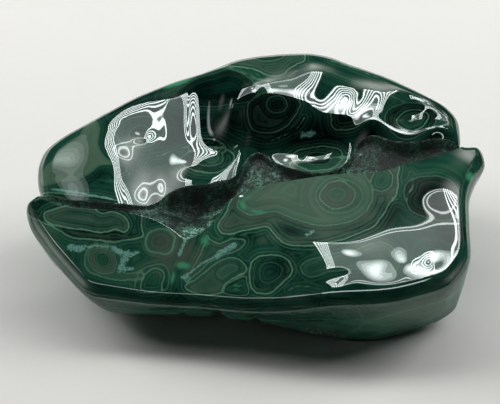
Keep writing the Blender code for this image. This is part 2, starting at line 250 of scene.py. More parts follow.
# The crevice's sides: how far each leans, and how far the lip hangs over where the floor is deep.
RISER_RUN = 0.8
LIP_LEAN = 0.3
LIP_UNDERCUT = 1.0
UNDERCUT_FROM_DROP = 3.0
UNDERCUT_FULL_DROP = 6.0
# The depth from which the crevice is all crust, and how far from the outline crust and relief fade.
CLEFT_FULL_DEPTH = 0.8
CLEFT_EDGE_FADE = 0.8
RELIEF_FADE = 1.5
# The wall draws in by one power of the way down, and the underside falls by another.
WALL_BOW = 1.4
UNDERSIDE_CURVE = 1.5
# How far inside the lower edge the foot lies, as a share of the way to the middle, and how much
# further where the edge hangs OVERHANG_HEIGHT clear.
FOOT_INSET_SHARE = 0.04
OVERHANG_INSET_SHARE = 0.22
OVERHANG_HEIGHT = 3.0

# Noise on the surface: size of the coarse and the fine cells, share of the fine ones, and seed.
WAVES = (9.0, 4.0, 0.3, 11)
CRUST = (3.2, 1.6, 0.5, 21)
CHIPS = (5.0, 2.2, 0.9, 31)
# The chips are cut where their noise is over this.
CHIP_LEVEL = 0.1
# How many values the lattice has before it repeats, and the steps between them along x, y and z.
NOISE_VALUES = 8192
NOISE_STRIDES = (7385, 1934, 5279)

# The share of the wall, from its top, over which the polish fades, and how dull an edge is.
DULL_FROM_SHARE = 0.7
EDGE_DULL = 0.3
# The rough, mossy patch low on the front wall: x, z, half length, half height, turn in degrees and
# strength. It lies in front of MOSS_FRONT, and noise makes it ragged.
MOSS = (19, 3, 7.5, 3, -10, 1.3)
MOSS_FRONT = -30
MOSS_CELL = 2.0
MOSS_SEED = 41
MOSS_RAGGEDNESS = 0.35

# The pattern is cut across columns of malachite that lean forward from upright. Places in the cut
# are x, and then u: the distance square to the columns, upwards.
COLUMN_LEAN = math.radians(48)
# Outlines of the nodules, from the oldest to the youngest: how bright the light ring along it is,
# half the ring's width, how pale the nodule is inside, how brown it is, and then points x, u.
NODULES = [
    (0.55, 0.35, 0.14, 0, [(-62, 14), (-48, 13.5), (-38, 12), (-32, 9), (-31.5, 5), (-31, 2.5), (-34, 1.5),
        (-39, 1), (-45, 1.5), (-50, 2), (-56, 5), (-64, 9)]),
    (0.75, 0.28, 0.46, 0.5, [(-58, 9), (-51.5, 10.5), (-45.5, 10), (-42.5, 8.5), (-40, 9), (-37, 8),
        (-35.5, 6.5), (-35, 5), (-36, 3.5), (-38.5, 4), (-42, 3.5), (-50, 4.5), (-57, 6)]),
    (0.35, 0.4, 0.44, 0.5, [(-46.5, -3), (-44.5, 0), (-41.5, 0), (-38, -1), (-36.5, -3.5), (-36.5, -6.5),
        (-34, -7.5), (-31, -7), (-31, -9), (-38, -9), (-45, -7)]),
    (0.3, 0.22, 0.5, 0.45, [(-45.5, -2.5), (-44, -1), (-41.5, -1), (-39, -2), (-38, -3.5), (-38, -6),
        (-39, -7.5), (-42, -7.5), (-44.5, -5.5)]),
    (0.2, 0.2, 0.4, 0.3, [(-43.5, -3), (-42, -2), (-40.5, -2.5), (-39.7, -4), (-40.5, -5.5), (-42.5, -5.5)]),
    (0.42, 0.6, 0.42, 0.6, [(-30, 1.5), (-29.5, 3), (-27.5, 4), (-24.5, 4), (-22.5, 2.5), (-22.5, 0.5),
        (-23, -1.5), (-24.5, -2.5), (-27, -2), (-29, -1.5), (-30, 0)]),
    (0.05, 0.3, 0.4, 0.8, [(-28.6, 1.2), (-27.5, 2.6), (-25.4, 2.8), (-24, 1.4), (-24.4, -0.2),
        (-26.4, -0.8), (-28.2, -0.2)]),
    (0.35, 0.25, 0.34, 0.4, [(-32, -12), (-32, -8.5), (-30, -6), (-27.5, -5.2), (-25, -5.2), (-23.5, -7),
        (-23.5, -9), (-24.5, -12)]),
    (0.65, 0.2, 0.33, 0.2, [(-30.8, -12), (-30.5, -9), (-29, -7), (-27.5, -6.3), (-25.7, -6.5), (-24.8, -8),
        (-25.2, -10), (-26, -12)]),
    (0.45, 0.3, 0.36, 0.5, [(-13.5, 2.5), (-12.5, 1.5), (-10, 0.5), (-7, 1.5), (-3, 1.5), (-3.5, 0),
        (-5.5, -1.5), (-8.5, -2.5), (-12.5, -4.5), (-15.5, -7), (-19, -9.5), (-16, -4), (-14, 0)]),
    (0.6, 0.25, 0.5, 0.45, [(-19, -11), (-16, -9), (-13.5, -7), (-11, -5), (-7.5, -3.5), (-5, -3.5),
        (-3, -5), (-2.5, -6.5), (-5, -8), (-7, -9), (-8.5, -10.5), (-9.5, -12.5), (-15, -13)]),
    (0.15, 0.4, 0.58, 0.2, [(-10.5, -7.5), (-8.5, -5.5), (-6, -5.2), (-5, -6.2), (-7, -7.5), (-9, -8.8)]),
    (0.35, 0.25, 0.26, 0.2, [(-8.5, -12.5), (-8, -10.5), (-6, -9.3), (-3, -8.2), (-2.3, -10), (-2.3, -13)]),
    (0.8, 0.3, 0.3, 0.1, [(-1.5, -5.5), (-1, -4), (1, -2.8), (4, -2.5), (6.5, -2.8), (8.7, -4), (9.7, -5.8),
        (9.5, -7.3), (7.5, -9), (6, -10.5), (3.5, -12.3), (1, -12.5), (-0.5, -12), (-1.5, -10.5),
        (-1.7, -8)]),
    (0.15, 0.35, 0.34, 0, [(1, -6), (2.5, -4.6), (5, -4.6), (7, -6), (6.3, -8), (4, -9.6), (1.8, -9.6),
        (0.8, -8)]),
    (0.8, 0.25, 0.44, 0.7, [(-6, 14), (-8.5, 8.5), (-10, 6.5), (-10.5, 5), (-9.5, 3.5), (-7.5, 3),
        (-4, 3.9), (0, 4.5), (3, 5), (4.5, 3.5), (6, 2), (8.5, 0.3), (12, 0), (18, 0.5), (25.5, 2.5),
        (31.5, 5), (34.5, 8), (36, 10.5), (38.5, 13.5), (39.5, 18), (38, 24), (15, 24), (0, 20)]),
    (0.45, 0.22, 0.78, 0.25, [(-4, 13.5), (-5.3, 11), (-4.5, 9.6), (-2.5, 8.5), (-0.5, 8.1), (3.5, 8.9),
        (6, 9), (9, 7.7), (12, 6.7), (15.5, 5.7), (18.5, 5.4), (22, 5.7), (26, 6.7), (29, 8.3), (31, 10.5),
        (32.2, 13), (32, 16), (30.5, 19), (29, 24), (12, 24), (2, 18)]),
    (0.25, 0.25, 0.62, 0.5, [(16.5, 13), (18.5, 16.8), (21.5, 18.4), (25, 18), (28.5, 16), (29.5, 13),
        (27.5, 10.3), (23.5, 8.8), (19, 9.4)]),
    (0.5, 0.22, 0.56, 0.6, [(17.5, 13), (19, 16), (21, 17.4), (23.5, 17.6), (25.7, 16.5), (27.2, 14.5),
        (26.7, 11.8), (24, 10.2), (20.5, 10.3)]),
    (0.1, 0.3, 0.66, 0.3, [(20, 14), (21.5, 15.6), (24, 15.4), (25, 13.7), (23.5, 12.2), (21.3, 12.2)]),
    (0.55, 0.22, 0.4, 0.3, [(32.7, 19), (32.2, 16.8), (33.2, 15.2), (35.2, 14.8), (37, 15.7), (38, 17.3),
        (37.8, 20), (35, 21.5)]),
    (0.25, 0.3, 0.08, 0, [(41, 12), (41.5, 16.5), (45, 18.5), (50, 19), (54.5, 17), (56, 12), (53, 7),
        (47, 7.5), (43, 9)]),
    (0.3, 0.2, 0.3, 0, [(46.5, -1.4), (49, -1.8), (50.6, -3.5), (50.3, -5.6), (48.5, -6.8), (46, -5.8),
        (44.4, -3.8), (45, -2)]),
    (0.3, 0.3, 0.48, 0.2, [(12, -5), (18, -2.5), (26, -1), (34, 1), (38, -3), (36, -7), (28, -6),
        (20, -6.5), (14, -8)]),
    # The left lobe's nodule: its pale tone is partly the stone's own pale sage and partly a painted
    # reflection, standing for the soft grey light its polish mirrors.
    (0.15, 0.5, 0.95, 0.35, [(-48, 36), (-50.5, 30), (-54, 27.5), (-57, 24), (-60, 20.5), (-60, 16.5),
        (-54.5, 17.5), (-50, 18), (-46.5, 20), (-44, 22), (-40.5, 22.5), (-43, 24.5), (-45, 28), (-45, 33)]),
    (0.35, 0.2, 0.1, 0, [(-38.8, 21), (-38, 22), (-36.7, 21.6), (-36.5, 20.4), (-38, 19.8)]),
    (0.35, 0.25, 0.36, 0.2, [(-40.5, 31), (-39, 34), (-36.5, 35.7), (-33, 36.3), (-29, 35.5), (-26.5, 32.5),
        (-28.5, 29), (-32, 27.2), (-37, 28)]),
    (0.3, 0.2, 0.2, 0, [(-36.5, 31), (-35, 33), (-32.5, 33.5), (-30, 32), (-30.5, 30), (-33, 29),
        (-35.5, 29.5)]),
    (0.15, 0.3, 0.05, 0, [(-26, 42), (-23.5, 44), (-18, 48), (-12.5, 49.5), (-8, 50.5), (-4, 49),
        (-1, 46.5), (1, 43.5), (-2, 40.5), (-12, 39.5), (-20, 40)]),
    (0.75, 0.28, 0.4, 0.6, [(-10, 52.5), (-3, 51), (0, 50.3), (2.5, 49), (5, 48.4), (8, 49), (10, 51),
        (12, 52.2), (14.5, 53.5), (13, 56.5), (3, 58), (-8, 56)]),
    (0.35, 0.22, 0.26, 0.2, [(-3, 55.5), (0, 53.6), (3, 53), (5, 53.2), (8, 54.5), (9, 58), (0, 59)]),
    (0.3, 0.3, 0.03, 0, [(-1.5, 41), (-2.5, 37.5), (-2, 34), (-0.5, 32.3), (3, 31.5), (6, 32), (8.7, 33.4),
        (10.7, 35.5), (12.2, 38), (12.7, 40.5), (9, 43.5), (3, 43.5)]),
    (0.25, 0.25, 0.12, 0, [(3, 40.5), (3, 39), (4.3, 37.6), (6, 37.3), (8, 38), (9, 40), (7.5, 42),
        (4.5, 42)]),
    (0.4, 0.22, 0.1, 0, [(-19.5, 27.5), (-18, 28.8), (-16, 29.7), (-13.5, 29.9), (-11, 29.3), (-9, 28),
        (-9, 26), (-14, 27), (-18, 26)]),
    (0.6, 0.28, 0.24, 0, [(-22, 23.5), (-20.5, 22), (-17, 20.5), (-13, 20), (-10, 20.5), (-7.5, 22),
        (-6.3, 23.8), (-7, 25.7), (-9, 27), (-14, 27.5), (-19, 26.2)]),
    (0.3, 0.25, 0.34, 0.2, [(-18, 24), (-16.5, 22.5), (-13.5, 21.8), (-10.8, 22.3), (-9.3, 24),
        (-10.2, 25.8), (-13, 26.4), (-16.5, 25.8)]),
    (0.2, 0.25, 0.52, 0.3, [(-14.8, 24), (-13, 23), (-11.3, 23.4), (-11, 24.6), (-12.8, 25.4),
        (-14.4, 25.1)]),
    (0.5, 0.28, 0.2, 0, [(9.5, 24.5), (11.5, 22.3), (14.5, 20.9), (18, 20.7), (21.5, 21.3), (24, 22.8),
        (24.8, 25), (24, 26.7), (21, 27.6), (16, 27.3), (12, 26.3)]),
    (0.2, 0.3, 0.1, 0, [(13.5, 24.3), (15.5, 22.6), (19, 22.3), (21.5, 23.6), (21.3, 25.3), (18, 26),
        (15, 25.6)]),
    (0.35, 0.3, 0.1, 0, [(22, 39), (21.8, 35.5), (22.2, 33.5), (24, 32.5), (28.5, 33), (31, 36), (29, 40),
        (25, 41)]),
    (0.25, 0.35, 0.14, 0.1, [(37.5, 37), (38, 33.5), (39.5, 31.5), (41.5, 30), (45, 30), (48.5, 31.5),
        (51.5, 34), (52.5, 37), (50, 39.8), (45.5, 40.7), (41, 39.8)]),
    (0.5, 0.24, 0.16, 0, [(40.8, 35), (42, 33.3), (44, 32), (46, 32.3), (48.5, 33.6), (50.2, 36),
        (49.7, 37.7), (47, 38.6), (44, 38.2), (41.8, 36.8)]),
]
# Light seams that close round nothing: how bright and half how wide, then points x, u.
SEAMS = [
    (0.35, 0.3, [(8.5, -11.7), (10.5, -10.6), (13.5, -10.5), (17, -11.3)]),
    (0.5, 0.25, [(-19.5, 27.5), (-23.5, 26.5), (-27, 25), (-30, 24.5), (-31.5, 22.5)]),
    (0.5, 0.35, [(-26, 46.5), (-18, 49.5), (-11, 51.5), (-5.5, 50.2), (-2, 49), (0, 47.5), (3, 46.9),
        (5.5, 46.5), (8.5, 47), (11, 49.5), (15, 51)]),
    (0.35, 0.22, [(-10, 34), (-7, 32), (-4.5, 31), (-3, 30), (-1.5, 30.4), (1, 29.5), (4.5, 29.4),
        (7, 30.4), (9.5, 31.5), (12, 33), (14, 36)]),
    (0.4, 0.3, [(22, 53.5), (28, 51.5), (33, 49.5), (38, 47.3), (43, 44.2), (48.5, 40.5), (53, 37),
        (56, 33)]),
    (0.3, 0.5, [(16, 52), (24, 49), (32, 46), (38, 43.5), (43, 41)]),
    (0.45, 0.22, [(37, 13), (41, 12), (42, 14), (43.5, 16), (43.5, 19.5)]),
    (0.5, 0.6, [(26, -23.5), (30, -20.5), (38, -17.7), (47, -15.5), (52.5, -13.5), (56, -9), (58, -2)]),
    (0.3, 0.3, [(33, -24), (40, -20.5), (49, -18), (55, -14), (59, -6)]),
    (0.35, 0.25, [(18, -15.5), (24.5, -16.3), (28, -18.3), (29.5, -20.6), (27, -19.4), (26, -21.5),
        (27.5, -24)]),
    (0.3, 0.2, [(10, -17.5), (20, -17.6), (23.5, -19.3), (24, -21.2), (22.6, -22.6)]),
    (0.25, 0.3, [(-50, -8), (-42, -13.8), (-32, -15.7), (-22, -16.6), (-15.5, -16), (-12.5, -15.3),
        (-8, -17), (2, -16.4), (14, -15.6)]),
    (0.22, 0.25, [(-40, -16.5), (-30, -18.3), (-18, -18.6), (-6, -19.4), (4, -19)]),
]
# Steps of a curve from point to point, how far its distance is worked out exactly, and for how many
# places at once.
CURVE_STEPS = 6
OUTLINE_REACH = 10.0
PLACES_AT_ONCE = 20000
# How softly growth turns between two lines, and how wide a nodule's tone and seed blend at its line.
CUSP_SOFTNESS = 0.22
TONE_BLEND = 0.9
SEED_BLEND = 0.4

# How pale the stone is outside all nodules.
BASE_TONE = 0.28
# Pale and dark clouds: x, u, half length, half width, turn in degrees, and how much paler.
CLOUDS = [
    (-24, -3, 12, 6, 10, 0.18),
    (-43, 2.8, 9, 1.6, 0, -0.22),
    (10.5, 3.8, 6, 1.8, -12, -0.3),
    (30, 4.5, 7, 1.8, 22, -0.28),
    (36, 9.5, 4, 3, 40, -0.18),
    (-2.5, 2.5, 3, 1.2, 10, -0.18),
    (8.5, -1, 3, 1.5, -20, -0.2),
    (6, -5.5, 2.6, 2.6, 0, -0.2),
    (52, 5, 6, 5, 0, -0.16),
    (30, 1, 14, 6, 0, 0.1),
    (57, 22, 4, 3, 0, 0.28),
    (50, 20.5, 6, 1.5, 15, 0.12),
    (-45, 19, 5, 2, 0, -0.12),
    (-14, 34, 14, 5, 0, -0.2),
    (10, 33, 16, 6, 0, -0.42),
    (30, 30, 8, 5, 0, -0.22),
    (5, 45.5, 9, 1.8, 0, 0.2),
    (30, 44, 12, 5, -30, 0.06),
    (52, 30, 5, 5, 0, 0.06),
    (44, -15, 12, 4, 15, 0.2),
    (-20, -17, 26, 5, 0, -0.08),
    (12, -20, 10, 4, 0, -0.16),
    # Painted reflection: this pale patch on the left end's wall stands for the soft grey light its polish
    # mirrors there.
    (-57, -3, 5, 9, 0, 0.4),
    (40, -19, 16, 3, 12, 0.28),
    (54, 39, 5, 4, 0, -0.16),
    (-40, 39, 8, 3, 0, -0.14),
    (-2, 15, 3, 1.6, 0, -0.2),
]
# Where the stone is browner: x, u, half length, half width, turn in degrees, share.
UMBER_CLOUDS = [
    (-22, -2, 12, 7, 0, 0.7),
    (2, 2, 5, 2, 0, 0.6),
    (26, 24, 10, 4, 0, 0.3),
    (20, -13, 14, 3, 0, 0.3),
]
# Clear bright green: x, u, half length, half width, turn in degrees, strength.
BRIGHT_SPOTS = [
    (-19.8, -5.4, 2.8, 1.3, -5, 0.9),
    (-22.4, -8.6, 0.9, 2.4, -12, 0.8),
    (-13.9, 1.1, 2, 2.2, 20, 0.75),
    (-3.6, 10.8, 2.2, 1.1, -55, 0.85),
    (0.6, 9, 3.2, 0.7, -4, 0.9),
    (-2.2, 12.8, 2.6, 0.9, 10, 0.6),
    (59.6, 18.8, 1.5, 1.7, 0, 1),
    (-23, 46.6, 6.5, 0.9, 20, 0.9),
    (-41.5, 17.6, 4.5, 0.9, -8, 0.55),
    (-5, -10.6, 1.8, 0.35, 0, 1),
    (-5.3, -11.6, 1.4, 0.3, 0, 0.9),
    (-37, 5, 2, 0.8, 10, 0.5),
]
# Threads and patches of turquoise chrysocolla: both ends as x, u, then half width.
CHRYSOCOLLA = [
    (-50.4, -0.7, -47.6, -1, 0.8),
    (-47.6, -1, -43.6, -0.1, 0.3),
    (-43.6, -0.1, -40.4, -0.6, 0.26),
    (-38.8, -0.8, -35, -3, 0.55),
    (-36.6, -6.2, -35.2, -2.4, 0.85),
    (-35, -3, -32.2, -2, 0.45),
    (-36.8, -6.4, -33.4, -6.3, 0.4),
    (-20.6, 5.2, -15.9, 5.6, 0.9),
    (-19.4, 5, -19.1, 2, 0.8),
    (-19.1, 2, -20.9, -2.7, 0.35),
    (-5.8, 0.1, -10.6, -2.8, 0.6),
    (-10.6, -2.8, -15.4, -5.4, 0.28),
    (-15.4, -5.4, -19, -8.4, 0.22),
    (-19.4, -8.6, -18.4, -8.3, 0.6),
    (13.6, 2.8, 15.6, 3.8, 0.35),
    (-57, 15.3, -50, 14.4, 0.32),
    (-50, 14.4, -40, 12.6, 0.22),
    (13.4, 30.9, 16.2, 31.5, 0.7),
]

# Colours as linear red, green and blue.
NIGHT_GREEN = (0.0006, 0.0075, 0.0055)
DEEP_GREEN = (0.0035, 0.032, 0.0215)
LEAF_GREEN = (0.012, 0.073, 0.045)
SAGE_GREEN = (0.041, 0.114, 0.071)
PALE_SAGE = (0.088, 0.160, 0.105)
UMBER_GREY = (0.066, 0.090, 0.068)
RING_GREEN = (0.13, 0.30, 0.195)
CLEAR_GREEN = (0.065, 0.330, 0.170)
TURQUOISE = (0.16, 0.37, 0.31)
CRUST_GREEN = (0.17, 0.40, 0.29)
# The crust's dark between its crystals, near black partly as painted shade for the deep crevice.
CRUST_DARK_AND_SHADE = (0.0012, 0.007, 0.005)
WALL_GREEN = (0.062, 0.230, 0.152)
FLOOR_WHITE = (0.83, 0.825, 0.80)
FLOOR_FLECK = (0.7, 0.7, 0.68)
CARD_BLACK = (0.01, 0.01, 0.01)
# From the darkest to the palest green.
SHADES = [(0, NIGHT_GREEN), (0.20, DEEP_GREEN), (0.40, LEAF_GREEN), (0.62, SAGE_GREEN), (0.95, PALE_SAGE)]

# Noise in the looks: scale, detail and, where it isn't 0.5, roughness.
DRIFT_NOISE = (240, 2)
RIPPLE_NOISE = (900, 3)
MOTTLE_NOISE = (130, 4)
PATCH_NOISE = (200, 2)
RAGGED_NOISE = (700, 4, 0.7)
SPECKLE_NOISE = (1900, 3, 0.7)
LAYER_NOISE = (1100, 5, 0.6)
DRUSE_NOISE = (150, 3)
# Noise along the growth: where each one starts, scale, detail and roughness.
BROAD_NOISE = (0, 0.50, 2, 0.5)
FINE_NOISE = (40, 2.6, 3, 0.6)
LINE_NOISE = (90, 0.45, 1, 0.4)
HUE_NOISE = (140, 0.35, 1, 0.4)

# How far drift and ripple bend the bands, and how far apart the nodules' bands start.
BAND_WARP = 0.6
WARP_DRIFT = 1.3
WARP_RIPPLE = 0.35
SEED_SPACING = 13.7
# How far they bend the rings, and where a ring, its halo, its echoes and a seam fade. The places
# are shares of the width for ring and halo, millimetres for echoes and steps of noise for seams.
RING_DRIFT = 0.9
RING_RIPPLE = 0.40
RING_WIDTH_SHARE = 0.56
RING_EDGE = (0.35, 1.35)
HALO_EDGE = (0.5, 3.2)
HALO_STRENGTH = 0.25
ECHO_EDGE = (0.02, 0.30)
LINE_EDGE = 0.035
# The echoes of a ring: how far from it each one runs, and how strong it is.
ECHO_RINGS = ((0.95, 0.20), (1.8, 0.10))
# How much mottling and bands shift the shade, and from where to where umber and its shades rise.
MOTTLE_SHARE = 0.40
BROAD_SHARE = 0.55
FINE_SHARE = 0.22
UMBER_MOTTLE = 0.5
UMBER_EDGE = (0.25, 0.85)
UMBER_SHADES = (0.15, 0.50)
# The strength of rings and seams, and the least of it in a weak patch.
RING_STRENGTH = 1.6
LINE_STRENGTH = 0.12
PATCH_LEAST = 0.42
# How ragged bright spots and threads are, from where to where they rise, and the threads' speckles.
SPOT_RAGGEDNESS = 0.5
SPOT_EDGE = (0.25, 0.85)
THREAD_RAGGEDNESS = 1.5
THREAD_EDGE = (0.50, 0.80)
SPECKLE_EDGE = (0.35, 0.65)
SPECKLE_LEAST = 0.35
# The wall's weathered layers: how they are stretched, where they rise, how much of the colour they
# take, and how much is weathered between them.
LAYER_STRETCH = (0.12, 0.12, 1.0)
LAYER_EDGE = (0.38, 0.66)
LAYER_SHARE = 0.80
LAYER_LEAST = 0.12
# Grains per metre, clumps for each of them, and the light and height that clumps give.
CRUST_GRAIN = 2100
FLOOR_GRAIN = 300
CLUMP_SHARE = 0.3
CLUMP_FLECK = 1.7
CLUMP_HEIGHT = 1.5
# The grain's depth in millimetres, its strength, and the share of it on a dull wall.
GRAIN_DEPTH = 0.2
GRAIN_STRENGTH = 0.8
DULL_RELIEF = 0.30
# Where the crevice's crystals rise, and how bright they are.
DRUSE_EDGE = (0.25, 0.75)
DRUSE_STRENGTH = 3.2
# The board's roughness, and how much its flecks show.
FLOOR_ROUGHNESS = 0.7
FLOOR_FLECK_SHARE = 0.05
# How much rougher than the polish each part is, and the stone's refraction.
DULL_ROUGHNESS = 0.30
CHRYSOCOLLA_ROUGHNESS = 0.10
CRUST_ROUGHNESS = 0.60
MALACHITE_IOR = 1.8

# The lamps' tint, and the room's light where it is brightest and where it is dark.
LAMP_COLOUR = (0.90, 1.0, 0.98)
ROOM_BRIGHT = (1.9, 1.9, 1.84)
ROOM_DARK = (0.003, 0.0035, 0.0035)

# The overhead lamp: where its centre hangs in millimetres, its spans, and its bars and rails.
LAMP_CENTRE = (38, 44, 300)
LAMP_SPANS = (142, 130)
LAMP_BARS = 6
BAR_PITCH = 5.4
BAR_WIDTH = 2.0
LAMP_RAILS = 2
RAIL_PITCH = 5.0
RAIL_WIDTH = 1.8
# How bright a rail is beside a bar.
RAIL_SHARE = 0.5
# Strip lamps low in front, which draw a thin line along the rim: centre, spans and radiance.
STRIPS = [((30, -56, 70), (60, 9), 5.5), ((-36, -56, 70), (70, 6), 2.4)]
# Round glows: two in the lamp, and a dim one low on the left. Each has its centre, its radius and
# its share of the brightness.
HOT_SPOTS = [((76, 14, 300), 27, 1.0), ((46, 58, 300), 16, 1.0), ((-80, 24, 120), 22, 0.24)]
HOT_SPOT_STEPS = 5
# The panels hang one above another, this far apart, so that all of them are mirrored.
PANEL_GAP = 1.0

# The window behind, and the bright wall below it: their centres and spans in millimetres.
WINDOW_CENTRE = (0, 500, 800)
WINDOW_SPANS = (1500, 200)
WALL_CENTRE = (0, 1000, 190)
WALL_SPANS = (2000, 340)
# The side windows: how far to the left or right, behind and up, and their spans.
SIDE_DISTANCES = (750, 400, 520)
SIDE_SPANS = (500, 400)
# Where the room's light fades upwards and to the front, and how much of it falls on matt faces.
HORIZON_EDGE = (0.08, 0.28)
BEHIND_EDGE = (0.1, 0.6)
DIFFUSE_ROOM_SHARE = 0.05
# Soft glows of the room as the polish mirrors them: direction, radius and radiance.
ROOM_GLOWS = [
    ((-0.45, -0.20, 0.87), 0.05, 4.0),
    ((-0.07, 0.49, 0.87), 0.10, 0.22),
    ((0.22, 0.39, 0.89), 0.095, 3.2),
    ((0.56, 0.37, 0.74), 0.10, 0.5),
    ((-0.85, -0.35, 0.35), 0.32, 1.4),
    ((0.85, -0.45, 0.28), 0.30, 0.9),
]

# The black card: its left, right, front and back edges, and its height above the floor.
DARK_CARD = (-90, 260, -600, -58, 0.3)

# What the camera looks at, the photograph's size in pixels, its scale there and its optical centre.
CAMERA_TARGET = (0, 0, 18)
PHOTO_WIDTH = 500
PHOTO_HEIGHT = 404
PIXELS_PER_MM = 3.48
OPTICAL_CENTRE = (256, 196)
SENSOR_WIDTH = 36


def spline(stations, knots, at):
    """Every column of stations at the given places: a cubic Hermite curve through the knots, whose
    tangents are the neighbouring slopes weighted by the opposite step."""
    stations = np.asarray(stations, float)
    steps = np.diff(knots)
    slopes = np.diff(stations, axis=0) / steps[:, None]
    inner = slopes[:-1] * steps[1:, None] + slopes[1:] * steps[:-1, None]
    inner /= (steps[:-1] + steps[1:])[:, None]
    tangents = np.vstack([slopes[:1], inner, slopes[-1:]])
    span = np.clip(np.searchsorted(knots, at, side="right") - 1, 0, len(steps) - 1)
    step = steps[span][:, None]
    share = ((at - knots[span]) / steps[span])[:, None]
    rest = 1 - share
    return (
        stations[span] * (1 + 2 * share) * rest**2
        + stations[span + 1] * (3 - 2 * share) * share**2
        + tangents[span] * step * share * rest**2
        - tangents[span + 1] * step * share**2 * rest
    )


def distance_walked(stations):
    """How far along the stations each one is: the summed steps in plan."""
    plan = np.asarray(stations, float)[:, :2]
    return np.concatenate([[0], np.cumsum(np.hypot(*np.diff(plan, axis=0).T))])


def chord_knots(stations):
    """Knots from 0 to 1: the distance walked from station to station in plan, over the whole."""
    walked = distance_walked(stations)
    return walked / walked[-1]


def row_knots(stations):
    """Knots halfway between distance walked and distance along X, which keeps columns upright."""
    x = np.asarray(stations, float)[:, 0]
    return (chord_knots(stations) + (x - x[0]) / (x[-1] - x[0])) / 2


def spread(count, gather):
    """Places from 0 to 1: even steps less gather times a sine, closer together near both ends."""
    even = np.linspace(0, 1, count + 1)
    return even - gather * np.sin(2 * np.pi * even) / (2 * np.pi)


def smooth_step(x):
    """x squared times (3 - 2 x), held at 0 below 0 and at 1 above 1."""
    x = np.clip(x, 0, 1)
    return x * x * (3 - 2 * x)


def patch(front, back, left, right, across, along):
    """A Coons patch in plan: front and back rows blended, plus left and right sides blended, less
    the blend of the four corners."""
    v = across[:, None, None]
    s = along[None, :, None]
    ruled = (1 - v) * front[None] + v * back[None]
    sides = (1 - s) * left[:, None] + s * right[:, None]
    corners = (1 - v) * ((1 - s) * front[0] + s * front[-1])
    corners = corners + v * ((1 - s) * back[0] + s * back[-1])
    return ruled + sides - corners


def bells(x, y, table):
    """The summed heights of bells: height times e to the minus squared distance on a turned ellipse."""
    total = np.zeros_like(x)
    for centre_x, centre_y, half_long, half_wide, turn, height in table:
        angle = np.radians(turn)
        along = (x - centre_x) * np.cos(angle) + (y - centre_y) * np.sin(angle)
        across = (y - centre_y) * np.cos(angle) - (x - centre_x) * np.sin(angle)
        total += height * np.exp(-((along / half_long) ** 2) - (across / half_wide) ** 2)
    return total


def plate_height(x, y):
    """The plate before its edges are rounded: the edge height, plus the eased slope times the way
    behind the edge, plus what the steeper first slope adds before it dies away."""
    tilt = spline(PLATE_TILT, np.asarray(PLATE_TILT)[:, 0], x.ravel()).reshape(*x.shape, 4)
    behind = y - PLATE_EDGE_Y
    eased_way = PLATE_EASE_LENGTH * (1 - np.exp(-behind / PLATE_EASE_LENGTH))
    height = tilt[..., 1] + tilt[..., 3] * behind + (tilt[..., 2] - tilt[..., 3]) * eased_way
    return height + bells(x, y, PLATE_SCOOPS) + bells(x, y, PLATE_DIMPLES)


def body_height(plan, along):
    """The body before its edges are rounded: in each column, a curve through its section's lip,
    wall foot, wall middle, shoulder and rim."""
    table = np.asarray(BODY_SECTIONS)
    sections = spline(table[:, 1:], table[:, 0], along)
    height = np.empty(plan.shape[:2])
    for column, section in enumerate(sections):
        y = plan[:, column, 1]
        stations = np.concatenate([y[:1], section[1:9:2], y[-1:]])
        levels = np.concatenate([section[:1], section[2:9:2], section[9:]])
        height[:, column] = spline(levels[:, None], stations, y)[:, 0]
    return height + bells(plan[..., 0], plan[..., 1], BODY_SCOOPS)


def edge_drop(distance, radius):
    """A quarter circle: how far a rounded edge has fallen at a distance inside the outline."""
    reach = np.clip(1 - distance / radius, 0, 1)
    return radius * (1 - np.sqrt(1 - reach**2))


def round_corners(left, middle, right):
    """Three runs of stations that meet at two corners, rounded there. Each station moves towards the
    mean of the stations around it, weighted by a bell of the distance walked, and the less the
    further it is from a corner."""
    walk = np.concatenate([left[::-1], middle[1:], right[1:]])
    corners = (len(left) - 1, len(left) + len(middle) - 2)
    walked = distance_walked(walk)
    weight = np.exp(-(((walked[:, None] - walked) / CORNER_REACH) ** 2)) * np.gradient(walked)
    mean = weight @ walk / weight.sum(1)[:, None]
    for corner in corners:
        near = np.exp(-(((walked - walked[corner]) / (2 * CORNER_REACH)) ** 2))
        walk = walk + (mean - walk) * near[:, None]
    return walk[: len(left)][::-1], walk[corners[0] : corners[1] + 1], walk[corners[1] :]


def plate_rows(front, crest, along):
    """The plate's rows, from the front edge to the crest, with its outline and crest heights."""
    across = spread(PLATE_ROWS, ROW_GATHER)
    left = spline(PLATE_LEFT, chord_knots(PLATE_LEFT), across)
    right = spline(PLATE_RIGHT, chord_knots(PLATE_RIGHT), across)
    left, front, right = round_corners(left, front, right)
    plan = patch(front[:, :2], crest[:, :2], left[:, :2], right[:, :2], across, along)
    from_crest = np.hypot(*(plan - crest[None, :, :2]).transpose(2, 0, 1))
    rounding = np.minimum(CREST_RADIUS, CREST_ROUNDED_SHARE * crest[:, 2])[None] + 1e-6
    height = plate_height(plan[..., 0], plan[..., 1])
    crest_top = height[-1].copy()
    height -= edge_drop(from_crest, rounding)
    return np.dstack([plan, height]), (left, front, right), crest_top


def body_rows(lip, back, along):
    """The body's rows, from its lip to the back, with its outline."""
    across = spread(BODY_ROWS, ROW_GATHER)
    left = spline(BODY_LEFT, chord_knots(BODY_LEFT), across)
    right = spline(BODY_RIGHT, chord_knots(BODY_RIGHT), across)
    left, back, right = round_corners(left[::-1], back, right[::-1])
    left = left[::-1]
    right = right[::-1]
    plan = patch(lip[:, :2], back[:, :2], left[:, :2], right[:, :2], across, along)
    return np.dstack([plan, body_height(plan, along)]), (left, back, right)


